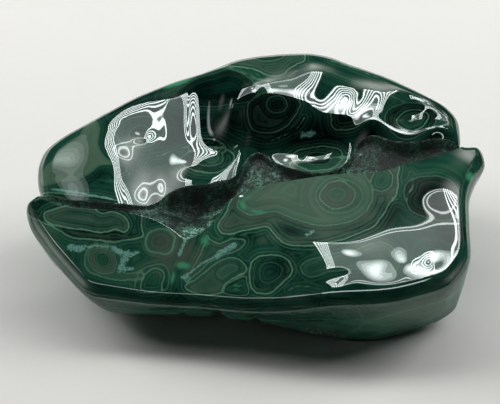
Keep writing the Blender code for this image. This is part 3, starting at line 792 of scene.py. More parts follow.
def crevice_rows(crest, crest_top, crest_height, lip, lip_height):
    """The crevice: straight risers below the crest and the lip, and a floor between them whose
    height blends by a smooth step."""
    floor_front = crest[:, :2] + [0, RISER_RUN]
    deep = (lip[:, 2] - UNDERCUT_FROM_DROP) / (UNDERCUT_FULL_DROP - UNDERCUT_FROM_DROP)
    floor_back = lip[:, :2] + [0, LIP_UNDERCUT] * smooth_step(deep)[:, None] - [0, LIP_LEAN]
    front_height = crest_top - crest[:, 2]
    back_height = lip_height - lip[:, 2]
    first = np.column_stack([crest[:, :2], crest_height])
    low_front = np.column_stack([floor_front, front_height])
    low_back = np.column_stack([floor_back, back_height])
    last = np.column_stack([lip[:, :2], lip_height])
    down = np.linspace(0, 1, RISER_ROWS + 1)[1:-1, None, None]
    over = np.linspace(0, 1, CREVICE_ROWS + 1)[:, None, None]
    floor = low_front + (low_back - low_front) * over
    floor[..., 2] = front_height + (back_height - front_height) * smooth_step(over[..., 0])
    return np.concatenate([first + (low_front - first) * down, floor, low_back + (last - low_back) * down])


def border(grid):
    """A grid's border values in ring order: front, right side, back, left side."""
    return np.concatenate([grid[0], grid[1:-1, -1], grid[-1, ::-1], grid[-2:0:-1, 0]])


def upper_side(columns):
    """The upper side as rows of points, the border's edge radius and lower edge, and each row's
    share of crevice."""
    along = spread(columns, COLUMN_GATHER)
    front, back, crest, lip = (spline(line, row_knots(line), along) for line in (FRONT, BACK, CREST, LIP))
    crest[:, 2] = np.maximum(crest[:, 2], 0)
    lip[:, 2] = np.maximum(lip[:, 2], 0)
    plate, (plate_left, front, plate_right), crest_top = plate_rows(front, crest, along)
    body, (body_left, back, body_right) = body_rows(lip, back, along)
    crevice = crevice_rows(crest, crest_top, plate[-1, :, 2], lip, body[0, :, 2])
    share = (np.arange(len(crevice)) + 1)[:, None] / (len(crevice) + 1)
    left_gap = np.asarray(PLATE_LEFT[-1]) * (1 - share) + np.asarray(BODY_LEFT[0]) * share
    right_gap = np.asarray(PLATE_RIGHT[-1]) * (1 - share) + np.asarray(BODY_RIGHT[0]) * share
    points = np.concatenate([plate, crevice, body])
    left = np.concatenate([plate_left, left_gap, body_left])
    right = np.concatenate([plate_right, right_gap, body_right])
    ring = np.concatenate([front, right[1:-1], back[::-1], left[-2:0:-1]])
    ring[:, :2] = border(points)[:, :2]
    depth = np.minimum(crest[:, 2], lip[:, 2])
    cleft = np.zeros(points.shape[:2])
    cleft[len(plate) - 1 : len(plate) + len(crevice) + 1] = smooth_step(depth / CLEFT_FULL_DEPTH)[None]
    return points, ring, cleft


def distance_to_ring(points, ring):
    """Each point's shortest distance in plan to the ring's segments, and the edge radius there."""
    step = np.roll(ring, -1, axis=0) - ring
    length2 = np.maximum((step[:, :2] ** 2).sum(1), 1e-9)
    gaps = []
    radii = []
    for row in points[..., :2]:
        away = row[:, None] - ring[None, :, :2]
        share = np.clip((away * step[None, :, :2]).sum(-1) / length2, 0, 1)
        gap = np.hypot(*(away - share[..., None] * step[None, :, :2]).transpose(2, 0, 1))
        nearest = gap.argmin(1)
        picked = np.arange(len(row))
        gaps.append(gap[picked, nearest])
        radii.append(ring[nearest, 2] + share[picked, nearest] * step[nearest, 2])
    return np.array(gaps), np.array(radii)


def lattice_noise(points, cell, seed):
    """Smooth noise from -1 to 1: seeded values on a cubic lattice of this cell, blended by smooth
    steps along each axis."""
    values = np.random.default_rng(seed).uniform(-1, 1, NOISE_VALUES)
    scaled = points / cell
    base = np.floor(scaled).astype(np.int64)
    share = smooth_step(scaled - base)
    total = np.zeros(points.shape[:-1])
    for corner in range(8):
        offset = np.array([corner & 1, corner >> 1 & 1, corner >> 2])
        key = ((base + offset) * np.array(NOISE_STRIDES)).sum(-1) % NOISE_VALUES
        total += np.where(offset, share, 1 - share).prod(-1) * values[key]
    return total


def layered_noise(points, coarse, fine, fine_share, seed):
    """Lattice noise in coarse cells, plus a share of lattice noise in fine ones."""
    return lattice_noise(points, coarse, seed) + fine_share * lattice_noise(points, fine, seed + 1)


def across_columns(points):
    """Places in the cut across the leaning columns: x, and y and z along the upward way there."""
    up = points[:, 1] * math.cos(COLUMN_LEAN) + points[:, 2] * math.sin(COLUMN_LEAN)
    return np.column_stack([points[:, 0], up])


def smooth_curve(corners, closed):
    """A Catmull-Rom curve through the corners, with a few steps from each one to the next."""
    corners = np.asarray(corners, float)
    if not closed:
        corners = np.vstack([2 * corners[0] - corners[1], corners, 2 * corners[-1] - corners[-2]])
    before, here, after, later = (np.roll(corners, -step, axis=0) for step in range(4))
    share = np.arange(CURVE_STEPS)[:, None, None] / CURVE_STEPS
    cubic = 3 * (here - after) + later - before
    square = 2 * before - 5 * here + 4 * after - later
    curve = here + 0.5 * share * (after - before + share * (square + share * cubic))
    curve = curve.transpose(1, 0, 2)
    if not closed:
        return np.vstack([curve[:-3].reshape(-1, 2), corners[-2]])
    curve = curve.reshape(-1, 2)
    return np.vstack([curve, curve[0]])


def curve_distance(places, curve, closed):
    """Each place's distance to the nearest of the curve's segments, and below 0 inside a closed
    curve, where a ray to the right crosses it an odd number of times. Out of reach of the curve it
    is the distance to its box."""
    low = curve.min(0) - OUTLINE_REACH
    high = curve.max(0) + OUTLINE_REACH
    gap = OUTLINE_REACH + np.hypot(*np.maximum(np.maximum(low - places, places - high), 0).T)
    near = np.flatnonzero(((places > low) & (places < high)).all(1))
    way = np.diff(curve, axis=0)
    for part in np.array_split(near, len(near) // PLACES_AT_ONCE + 1):
        away = places[part, None] - curve[None, :-1]
        share = np.clip((away * way).sum(-1) / (way**2).sum(-1), 0, 1)
        gap[part] = np.sqrt(((away - share[..., None] * way) ** 2).sum(-1).min(1))
        if closed:
            beside = (away[..., 1] < 0) != (away[..., 1] < way[:, 1])
            level = np.where(beside, away[..., 1] / np.where(way[:, 1] == 0, 1, way[:, 1]), 0)
            crossings = (beside & (away[..., 0] < level * way[:, 0])).sum(1)
            gap[part] *= 1 - 2 * (crossings % 2)
    return gap


def growth_fields(places):
    """The pattern at each place. growth is a soft minimum of the distances to all outlines and
    seams. ring and width are those of the lines, weighted by how near they are. tone, umber and
    seed start even, and each nodule in turn paints its own over what lies inside its outline. bright
    is the highest of the spots' bells. growth changes sign at every outline, so that it runs
    straight through 0 there."""
    tone = np.full(len(places), BASE_TONE)
    umber = np.zeros(len(places))
    seed = np.zeros(len(places))
    side = np.ones(len(places))
    gaps = []
    for index, (_, _, pale, brown, corners) in enumerate(NODULES):
        gap = curve_distance(places, smooth_curve(corners, True), True)
        inside = smooth_step(0.5 - gap / TONE_BLEND)
        tone += (pale - tone) * inside
        umber += (brown - umber) * inside
        seed += (index + 1 - seed) * smooth_step(0.5 - gap / SEED_BLEND)
        side[gap < 0] *= -1
        gaps.append(abs(gap))
    for _, _, corners in SEAMS:
        gaps.append(curve_distance(places, smooth_curve(corners, False), False))
    gaps = np.array(gaps)
    nearest = gaps.min(0)
    weight = np.exp((nearest - gaps) / CUSP_SOFTNESS)
    growth = nearest - CUSP_SOFTNESS * np.log(weight.sum(0))
    weight /= weight.sum(0)
    lines = np.array([line[:2] for line in NODULES + SEAMS])
    x, u = places.T
    return {
        "growth": np.maximum(growth, 0) * side,
        "ring": (weight * lines[:, 0, None]).sum(0),
        "width": (weight * lines[:, 1, None]).sum(0),
        "tone": tone + bells(x, u, CLOUDS),
        "umber": np.maximum(umber, bells(x, u, UMBER_CLOUDS)),
        "seed": seed,
        "bright": np.max([bells(x, u, [spot]) for spot in BRIGHT_SPOTS], axis=0),
        "chrysocolla": chrysocolla_field(places),
    }


def chrysocolla_field(places):
    """1 along a thread of chrysocolla, 0 at three half widths from it."""
    total = np.zeros(len(places))
    for x_1, u_1, x_2, u_2, half_width in CHRYSOCOLLA:
        away = curve_distance(places, np.array([(x_1, u_1), (x_2, u_2)]), False)
        total = np.maximum(total, 1 - away / (3 * half_width))
    return total


def polish_fields(vertices, gap, radius, cleft):
    """How dull and how rough each vertex is. The polish fades down the wall by a smooth step, and a
    little, by a cube, over the rounded edges; the crevice and the mossy patch are rough."""
    below = len(vertices) - gap.size
    depth = 1 + np.arange(below) // len(border(gap))
    dull_wall = np.maximum(smooth_step(depth / (DULL_FROM_SHARE * WALL_RINGS)), EDGE_DULL)
    dull_edge = EDGE_DULL * np.clip(1 - gap / radius, 0, 1) ** 3
    crevice = cleft * smooth_step(gap / CLEFT_EDGE_FADE)
    moss = bells(vertices[:, 0], vertices[:, 2], [MOSS]) * (vertices[:, 1] < MOSS_FRONT)
    ragged = MOSS_RAGGEDNESS * (lattice_noise(vertices, MOSS_CELL, MOSS_SEED) - 1)
    return {
        "rough": np.maximum(np.concatenate([crevice.ravel(), np.zeros(below)]), smooth_step(moss + ragged)),
        "dull": np.concatenate([dull_edge.ravel(), dull_wall]),
    }


def lower_rings(top, ring, edge_chips):
    """The rings of the wall and the underside, and the middle of the foot. The wall goes from the
    border to its lower edge, in plan by a power of the share; chips raise that edge where it hangs
    clear. The underside goes on towards the middle and falls by another power. The foot's rings are
    even steps from there to the middle."""
    lower = np.column_stack([ring[:, 3:5], np.maximum(ring[:, 5], 0)])
    chips = np.maximum(layered_noise(lower, *CHIPS) - CHIP_LEVEL, 0)
    hanging = smooth_step(lower[:, 2] / OVERHANG_HEIGHT)
    middle = np.array([*lower[:, :2].mean(0), 0.0])
    lower[:, 2] += edge_chips * chips * hanging
    share = (np.arange(1, WALL_RINGS + 1) / WALL_RINGS)[:, None, None]
    bowed = share**WALL_BOW
    wall = top + (lower - top) * np.concatenate([bowed, bowed, share], axis=2)

    inset = FOOT_INSET_SHARE + OVERHANG_INSET_SHARE * hanging[:, None]
    share = (np.arange(1, BASE_RINGS + 1) / BASE_RINGS)[:, None, None]
    plan = lower[:, :2] + (middle[:2] - lower[:, :2]) * inset * share
    base = np.concatenate([plan, lower[:, 2:] * (1 - share) ** UNDERSIDE_CURVE], axis=2)
    share = (np.arange(1, FOOT_RINGS + 1) / (FOOT_RINGS + 1))[:, None, None]
    foot = base[-1] + (middle - base[-1]) * share
    return np.concatenate([wall, base, foot]), middle


def skin_faces(rows, columns, ring_count):
    """Quads over the grid and between the rings below it, and a fan over the foot."""
    grid = np.arange(rows * columns).reshape(rows, columns)
    quads = np.stack([grid[:-1, :-1], grid[:-1, 1:], grid[1:, 1:], grid[1:, :-1]], -1).reshape(-1, 4)
    edge = border(grid)
    below = grid.size + np.arange(ring_count * len(edge)).reshape(ring_count, -1)
    loops = np.vstack([edge, below])
    after = np.roll(loops, -1, axis=1)
    bands = np.stack([loops[:-1], loops[1:], after[1:], after[:-1]], -1).reshape(-1, 4)
    centre = np.full(len(edge), below[-1, -1] + 1)
    fan = np.column_stack([loops[-1], centre, after[-1]])
    return [*quads.tolist(), *bands.tolist(), *fan.tolist()]


def stone_surface(shape):
    """All points and faces of the stone in millimetres, and its fields by name."""
    points, ring, cleft = upper_side(shape.columns)
    gap, radius = distance_to_ring(points, ring)
    points[..., 2] -= edge_drop(gap, radius)
    inside = smooth_step(gap / RELIEF_FADE)
    points[..., 2] += shape.polish_waves * layered_noise(points, *WAVES) * inside * (1 - cleft)
    points[..., 2] += shape.crust_relief * layered_noise(points, *CRUST) * cleft * inside
    rings, middle = lower_rings(border(points), ring, shape.edge_chips)
    vertices = np.concatenate([points.reshape(-1, 3), rings.reshape(-1, 3), [middle]])
    faces = skin_faces(*points.shape[:2], len(rings))
    fields = {**growth_fields(across_columns(vertices)), **polish_fields(vertices, gap, radius, cleft)}
    return vertices, faces, fields


def make_piece(name, points, faces, fields, material):
    """A mesh object at the origin from points in millimetres, with its fields as attributes."""
    mesh = bpy.data.meshes.new(name)
    mesh.from_pydata((np.asarray(points) - BOX_CENTRE) * MM, [], faces)
    for field, values in fields.items():
        attribute = mesh.attributes.new(field, "FLOAT", "POINT")
        attribute.data.foreach_set("value", values.astype(np.float32))
    mesh.shade_smooth()
    mesh.materials.append(material)
    mesh.update()
    piece = bpy.data.objects.new(name, mesh)
    bpy.context.scene.collection.objects.link(piece)
    return piece


def new_material(name):
    """A node material and its shader."""
    material = bpy.data.materials.new(name)
    material.use_nodes = True
    return material, material.node_tree, material.node_tree.nodes["Principled BSDF"]


def feed(socket, value):
    """Links value to the socket if it is an output, or else sets it there."""
    if isinstance(value, bpy.types.NodeSocket):
        socket.id_data.links.new(value, socket)
    else:
        socket.default_value = value


def reckon(operation, first, second=0.0):
    """The output of a Math node on two sockets or numbers, in the tree of the first socket."""
    socket = first if isinstance(first, bpy.types.NodeSocket) else second
    node = socket.id_data.nodes.new("ShaderNodeMath")
    node.operation = operation
    feed(node.inputs[0], first)
    feed(node.inputs[1], second)
    return node.outputs[0]


def plus(*parts):
    """The sum of sockets and numbers."""
    return reduce(lambda first, second: reckon("ADD", first, second), parts)


def times(*parts):
    """The product of sockets and numbers."""
    return reduce(lambda first, second: reckon("MULTIPLY", first, second), parts)


def distance_from(value, middle=0.0):
    """How far the value is from the middle, either way."""
    return reckon("ABSOLUTE", reckon("SUBTRACT", value, middle))


def held(value):
    """The same Math node's output, held between 0 and 1."""
    value.node.use_clamp = True
    return value


def eased(value, low, high):
    """A smooth rise from 0 at low to 1 at high."""
    node = value.id_data.nodes.new("ShaderNodeMapRange")
    node.interpolation_type = "SMOOTHSTEP"
    feed(node.inputs["Value"], value)
    node.inputs["From Min"].default_value = low
    node.inputs["From Max"].default_value = high
    return node.outputs["Result"]


def faded(value, low, high):
    """A smooth fall from 1 at low to 0 at high."""
    return reckon("SUBTRACT", 1.0, eased(value, low, high))


def noise_of(vector, scale, detail, roughness=0.5):
    """A Noise texture in space, from 0 to 1."""
    node = vector.id_data.nodes.new("ShaderNodeTexNoise")
    feed(node.inputs["Vector"], vector)
    feed(node.inputs["Scale"], scale)
    node.inputs["Detail"].default_value = detail
    node.inputs["Roughness"].default_value = roughness
    return node.outputs["Fac"]


def swing_of(vector, scale, detail, roughness=0.5):
    """A Noise texture in space, about 0."""
    return reckon("SUBTRACT", noise_of(vector, scale, detail, roughness), 0.5)


def noise_along(way, start, scale, detail, roughness):
    """A Noise texture along one value, from a start of its own."""
    node = way.id_data.nodes.new("ShaderNodeTexNoise")
    node.noise_dimensions = "1D"
    feed(node.inputs["W"], plus(way, start))
    node.inputs["Scale"].default_value = scale
    node.inputs["Detail"].default_value = detail
    node.inputs["Roughness"].default_value = roughness
    return node.outputs["Fac"]


def blend(share, first, second):
    """A colour from first at share 0 to second at share 1."""
    node = share.id_data.nodes.new("ShaderNodeMix")
    node.data_type = "RGBA"
    feed(node.inputs["Factor"], share)
    for label, colour in (("A", first), ("B", second)):
        feed(node.inputs[label], colour if isinstance(colour, bpy.types.NodeSocket) else (*colour, 1))
    return node.outputs["Result"]


def ramp(value, stops):
    """A colour ramp over places and colours."""
    node = value.id_data.nodes.new("ShaderNodeValToRGB")
    while len(node.color_ramp.elements) < len(stops):
        node.color_ramp.elements.new(1.0)
    for element, (place, colour) in zip(node.color_ramp.elements, stops):
        element.position = place
        element.color = (*colour, 1)
    feed(node.inputs["Fac"], value)
    return node.outputs["Color"]


def place_in(tree):
    """The place in the piece's own space."""
    return tree.nodes.new("ShaderNodeTexCoord").outputs["Object"]


def field_of(tree, name):
    """The value of one of the piece's attributes."""
    node = tree.nodes.new("ShaderNodeAttribute")
    node.attribute_name = name
    return node.outputs["Fac"]


def group_with(name, inputs, outputs):
    """A new shader node group with float inputs and outputs, and its two end nodes."""
    group = bpy.data.node_groups.new(name, "ShaderNodeTree")
    for label, default in inputs:
        socket = group.interface.new_socket(label, in_out="INPUT", socket_type="NodeSocketFloat")
        socket.default_value = default
    for label in outputs:
        group.interface.new_socket(label, in_out="OUTPUT", socket_type="NodeSocketFloat")
    return group, group.nodes.new("NodeGroupInput"), group.nodes.new("NodeGroupOutput")


def shared_group(name, build):
    """The node group of this name, built the first time it is asked for."""
    return bpy.data.node_groups.get(name) or build(name)


def use_group(tree, group, **values):
    """Places a group in a tree and feeds its inputs, whose names use underscores for spaces."""
    node = tree.nodes.new("ShaderNodeGroup")
    node.node_tree = group
    for label, value in values.items():
        feed(node.inputs[label.replace("_", " ")], value)
    return node.outputs


def band_group(name):
    """Growth bands: broad and fine shading along a warped growth value, thin seams where a slow
    noise crosses its middle, a ring with a faint halo where growth is 0, and fainter rings at set
    distances from it."""
    inputs = [("Growth", 0.0), ("Seed", 0.0), ("Warp", 0.5), ("Ring Width", 0.22)]
    group, start, end = group_with(name, inputs, ["Broad", "Fine", "Lines", "Ring", "Hue"])
    growth, seed, warp, ring_width = (start.outputs[label] for label, _ in inputs)
    place = place_in(group)
    drift = swing_of(place, *DRIFT_NOISE)
    ripple = swing_of(place, *RIPPLE_NOISE)
    grown = distance_from(growth)
    bend = times(plus(times(drift, WARP_DRIFT), times(ripple, WARP_RIPPLE)), warp)
    warped = plus(grown, bend, times(seed, SEED_SPACING))
    wobble = plus(times(ripple, RING_RIPPLE), times(drift, RING_DRIFT))
    off_ring = reckon("DIVIDE", distance_from(plus(growth, wobble)), times(ring_width, RING_WIDTH_SHARE))
    ring = faded(off_ring, *RING_EDGE)
    calm = plus(grown, times(drift, RING_DRIFT))
    for far, strength in ECHO_RINGS:
        ring = reckon("MAXIMUM", ring, times(faded(distance_from(calm, far), *ECHO_EDGE), strength))
    halo = times(faded(off_ring, *HALO_EDGE), HALO_STRENGTH)
    feed(end.inputs["Broad"], noise_along(warped, *BROAD_NOISE))
    feed(end.inputs["Fine"], noise_along(warped, *FINE_NOISE))
    off_line = distance_from(noise_along(warped, *LINE_NOISE), 0.5)
    feed(end.inputs["Lines"], faded(off_line, 0.0, LINE_EDGE))
    feed(end.inputs["Ring"], reckon("MAXIMUM", ring, halo))
    feed(end.inputs["Hue"], noise_along(warped, *HUE_NOISE))
    return group


def grain_group(name):
    """Mineral grain: flecks of light and a height, both from cells and clumps at one scale."""
    group, start, end = group_with(name, [("Scale", 1500.0)], ["Fleck", "Height"])
    scale = start.outputs["Scale"]
    place = place_in(group)
    grains = group.nodes.new("ShaderNodeTexVoronoi")
    feed(grains.inputs["Vector"], place)
    feed(grains.inputs["Scale"], scale)
    clumps = noise_of(place, times(scale, CLUMP_SHARE), 3.0)
    tint = group.nodes.new("ShaderNodeSeparateColor")
    feed(tint.inputs["Color"], grains.outputs["Color"])
    feed(end.inputs["Fleck"], times(tint.outputs["Red"], clumps, CLUMP_FLECK))
    feed(end.inputs["Height"], reckon("SUBTRACT", times(clumps, CLUMP_HEIGHT), grains.outputs["Distance"]))
    return group


def banded_colour(tree, place, band):
    """The greens: a ramp over tone, mottling and both kinds of bands, browner where umber is high."""
    mottle = swing_of(place, *MOTTLE_NOISE)
    broad = times(plus(band["Broad"], -0.5), BROAD_SHARE)
    fine = times(plus(band["Fine"], -0.5), FINE_SHARE)
    shade = plus(field_of(tree, "tone"), times(mottle, MOTTLE_SHARE), plus(broad, fine))
    brown = plus(field_of(tree, "umber"), times(mottle, UMBER_MOTTLE), plus(band["Hue"], -0.5))
    brown = times(eased(brown, *UMBER_EDGE), eased(shade, *UMBER_SHADES))
    return blend(brown, ramp(shade, SHADES), UMBER_GREY)


def ringed_colour(tree, place, band, colour, finish):
    """The light rings and seams over a colour, stronger and weaker in patches."""
    patchy = plus(noise_of(place, *PATCH_NOISE), PATCH_LEAST)
    lines = times(band["Lines"], LINE_STRENGTH)
    ring = times(band["Ring"], field_of(tree, "ring"), RING_STRENGTH)
    return blend(times(reckon("MAXIMUM", lines, ring), patchy), colour, finish.ring_colour)


def weathered_share(place, dull):
    """How weathered the wall is: more where it is dull, in thin flat layers."""
    layers = place.id_data.nodes.new("ShaderNodeMapping")
    feed(layers.inputs["Vector"], place)
    layers.inputs["Scale"].default_value = LAYER_STRETCH
    strata = eased(noise_of(layers.outputs["Vector"], *LAYER_NOISE), *LAYER_EDGE)
    return times(dull, plus(times(strata, LAYER_SHARE), LAYER_LEAST))


def malachite_material(finish, bands, grain):
    """Polished, banded malachite that turns to a rough crust where the stone isn't polished."""
    material, tree, shader = new_material("malachite")
    place = place_in(tree)
    rough = field_of(tree, "rough")
    dull = field_of(tree, "dull")
    band = use_group(
        tree,
        bands,
        Growth=field_of(tree, "growth"),
        Seed=field_of(tree, "seed"),
        Warp=BAND_WARP,
        Ring_Width=field_of(tree, "width"),
    )
    grit = use_group(tree, grain, Scale=CRUST_GRAIN)
    colour = banded_colour(tree, place, band)
    colour = ringed_colour(tree, place, band, colour, finish)

    ragged = swing_of(place, *RAGGED_NOISE)
    spot = field_of(tree, "bright")
    bright = times(eased(plus(spot, times(ragged, SPOT_RAGGEDNESS)), *SPOT_EDGE), spot)
    colour = blend(bright, colour, finish.bright_colour)
    thread = plus(field_of(tree, "chrysocolla"), times(ragged, THREAD_RAGGEDNESS))
    chrysocolla = eased(thread, *THREAD_EDGE)
    speckle = held(plus(eased(noise_of(place, *SPECKLE_NOISE), *SPECKLE_EDGE), SPECKLE_LEAST))
    colour = blend(times(chrysocolla, speckle), colour, finish.chrysocolla_colour)
    colour = blend(weathered_share(place, dull), colour, WALL_GREEN)
    # The crust: its crystals' green over a near-black dark that is partly painted shade of the deep crevice,
    # pushed darker by the square.
    druse = times(grit["Fleck"], eased(noise_of(place, *DRUSE_NOISE), *DRUSE_EDGE))
    druse = held(times(reckon("POWER", druse, 2.0), DRUSE_STRENGTH))
    colour = blend(rough, colour, blend(druse, CRUST_DARK_AND_SHADE, CRUST_GREEN))
    feed(shader.inputs["Base Color"], colour)

    gloss = plus(
        finish.polish_roughness,
        times(dull, DULL_ROUGHNESS),
        times(chrysocolla, CHRYSOCOLLA_ROUGHNESS),
        times(rough, CRUST_ROUGHNESS),
    )
    feed(shader.inputs["Roughness"], held(gloss))
    shader.inputs["IOR"].default_value = MALACHITE_IOR

    bump = tree.nodes.new("ShaderNodeBump")
    bump.inputs["Strength"].default_value = GRAIN_STRENGTH
    bump.inputs["Distance"].default_value = GRAIN_DEPTH * MM
    relief = reckon("MAXIMUM", rough, times(dull, DULL_RELIEF))
    feed(bump.inputs["Height"], times(grit["Height"], relief))
    feed(shader.inputs["Normal"], bump.outputs["Normal"])
    return material


def floor_material(grain):
    """A plain, matt, pale board with the faintest grain."""
    material, tree, shader = new_material("pale_floor")
    grit = use_group(tree, grain, Scale=FLOOR_GRAIN)
    colour = blend(times(grit["Fleck"], FLOOR_FLECK_SHARE), FLOOR_WHITE, FLOOR_FLECK)
    feed(shader.inputs["Base Color"], colour)
    shader.inputs["Roughness"].default_value = FLOOR_ROUGHNESS
    shader.inputs["Specular IOR Level"].default_value = 0.0
    return material


def card_material():
    """Dull black card."""
    material, _, shader = new_material("black_card")
    shader.inputs["Base Color"].default_value = (*CARD_BLACK, 1)
    shader.inputs["Roughness"].default_value = 1.0
    return material


def lay_sheet(name, left, right, front, back, height, material):
    """A flat rectangle on the stage, facing up, from millimetres in the box's frame."""
    corners = [(left, front), (right, front), (right, back), (left, back)]
    points = [BOX_CENTRE + (x, y, height) for x, y in corners]
    sheet = make_piece(name, points, [(0, 1, 2, 3)], {}, material)
    return sheet


def hang_panel(name, centre, spans, radiance):
    """A rectangular light facing down, whose radiance is the same all over it."""
    light = bpy.data.lights.new(name, "AREA")
    light.shape = "RECTANGLE"
    light.size = spans[0] * MM
    light.size_y = spans[1] * MM
    light.energy = radiance * math.pi * light.size * light.size_y
    lamp = bpy.data.objects.new(name, light)
    lamp.location = Vector(np.asarray(centre) - BOX_CENTRE) * MM
    bpy.context.scene.collection.objects.link(lamp)
    return lamp


class StoneShape(bpy.types.PropertyGroup):
    columns: IntProperty(
        name="Columns", description="Columns of the upper side, from left to right", default=280, min=60
    )
    polish_waves: FloatProperty(
        name="Polish waves", description="Height of the wheel's waves, in millimetres", default=0.014
    )
    crust_relief: FloatProperty(
        name="Crust relief", description="Height of the crevice's lumps, in millimetres", default=0.38
    )
    edge_chips: FloatProperty(
        name="Edge chips", description="Depth of the chips along the lower edge, in millimetres", default=2.8
    )


class StoneFinish(bpy.types.PropertyGroup):
    polish_roughness: FloatProperty(
        name="Polish roughness", description="Roughness of the polish", default=0.016, subtype="FACTOR"
    )
    ring_colour: FloatVectorProperty(
        name="Ring colour", description="Colour of the thin light rings", default=RING_GREEN, subtype="COLOR"
    )
    bright_colour: FloatVectorProperty(
        name="Bright green", description="Colour of the clear spots", default=CLEAR_GREEN, subtype="COLOR"
    )
    chrysocolla_colour: FloatVectorProperty(
        name="Chrysocolla", description="Colour of the turquoise threads", default=TURQUOISE, subtype="COLOR"
    )


class StageSettings(bpy.types.PropertyGroup):
    floor_size: FloatProperty(name="Floor size", description="Side of the floor", default=3.0, unit="LENGTH")
    camera_distance: FloatProperty(
        name="Camera distance", description="From the lens to the stone", default=0.36, unit="LENGTH"
    )
    camera_elevation: FloatProperty(
        name="Camera elevation", description="Above the horizon", default=math.radians(42), subtype="ANGLE"
    )
    bar_radiance: FloatProperty(name="Bars", description="Brightness of the lamp's bars", default=13.0)
    glow_radiance: FloatProperty(name="Glows", description="Brightness of each step of a glow", default=2.0)
    veil_radiance: FloatProperty(name="Panel", description="Brightness of the dim panel", default=1.15)
    strip_share: FloatProperty(name="Strips", description="Brightness share of the strips", default=1.0)
    window_radiance: FloatProperty(name="Window", description="Brightness of the window behind", default=5.1)
    side_radiance: FloatProperty(name="Sides", description="Brightness of the side windows", default=9.0)
    wall_radiance: FloatProperty(name="Wall", description="Brightness of the wall below it", default=0.4)


class MALACHITE_OT_stone(bpy.types.Operator):
    """Builds the stone's surface and dresses it in banded malachite"""

    bl_idname = "malachite.stone"
    bl_label = "Build stone"

    def execute(self, context):
        bands = shared_group("growth_bands", band_group)
        grain = shared_group("mineral_grain", grain_group)
        material = malachite_material(context.scene.stone_finish, bands, grain)
        points, faces, fields = stone_surface(context.scene.stone_shape)
        stone = make_piece("polished_stone", points, faces, fields, material)
        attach(stone, "root")
        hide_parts("malachite_stone")
        return {"FINISHED"}


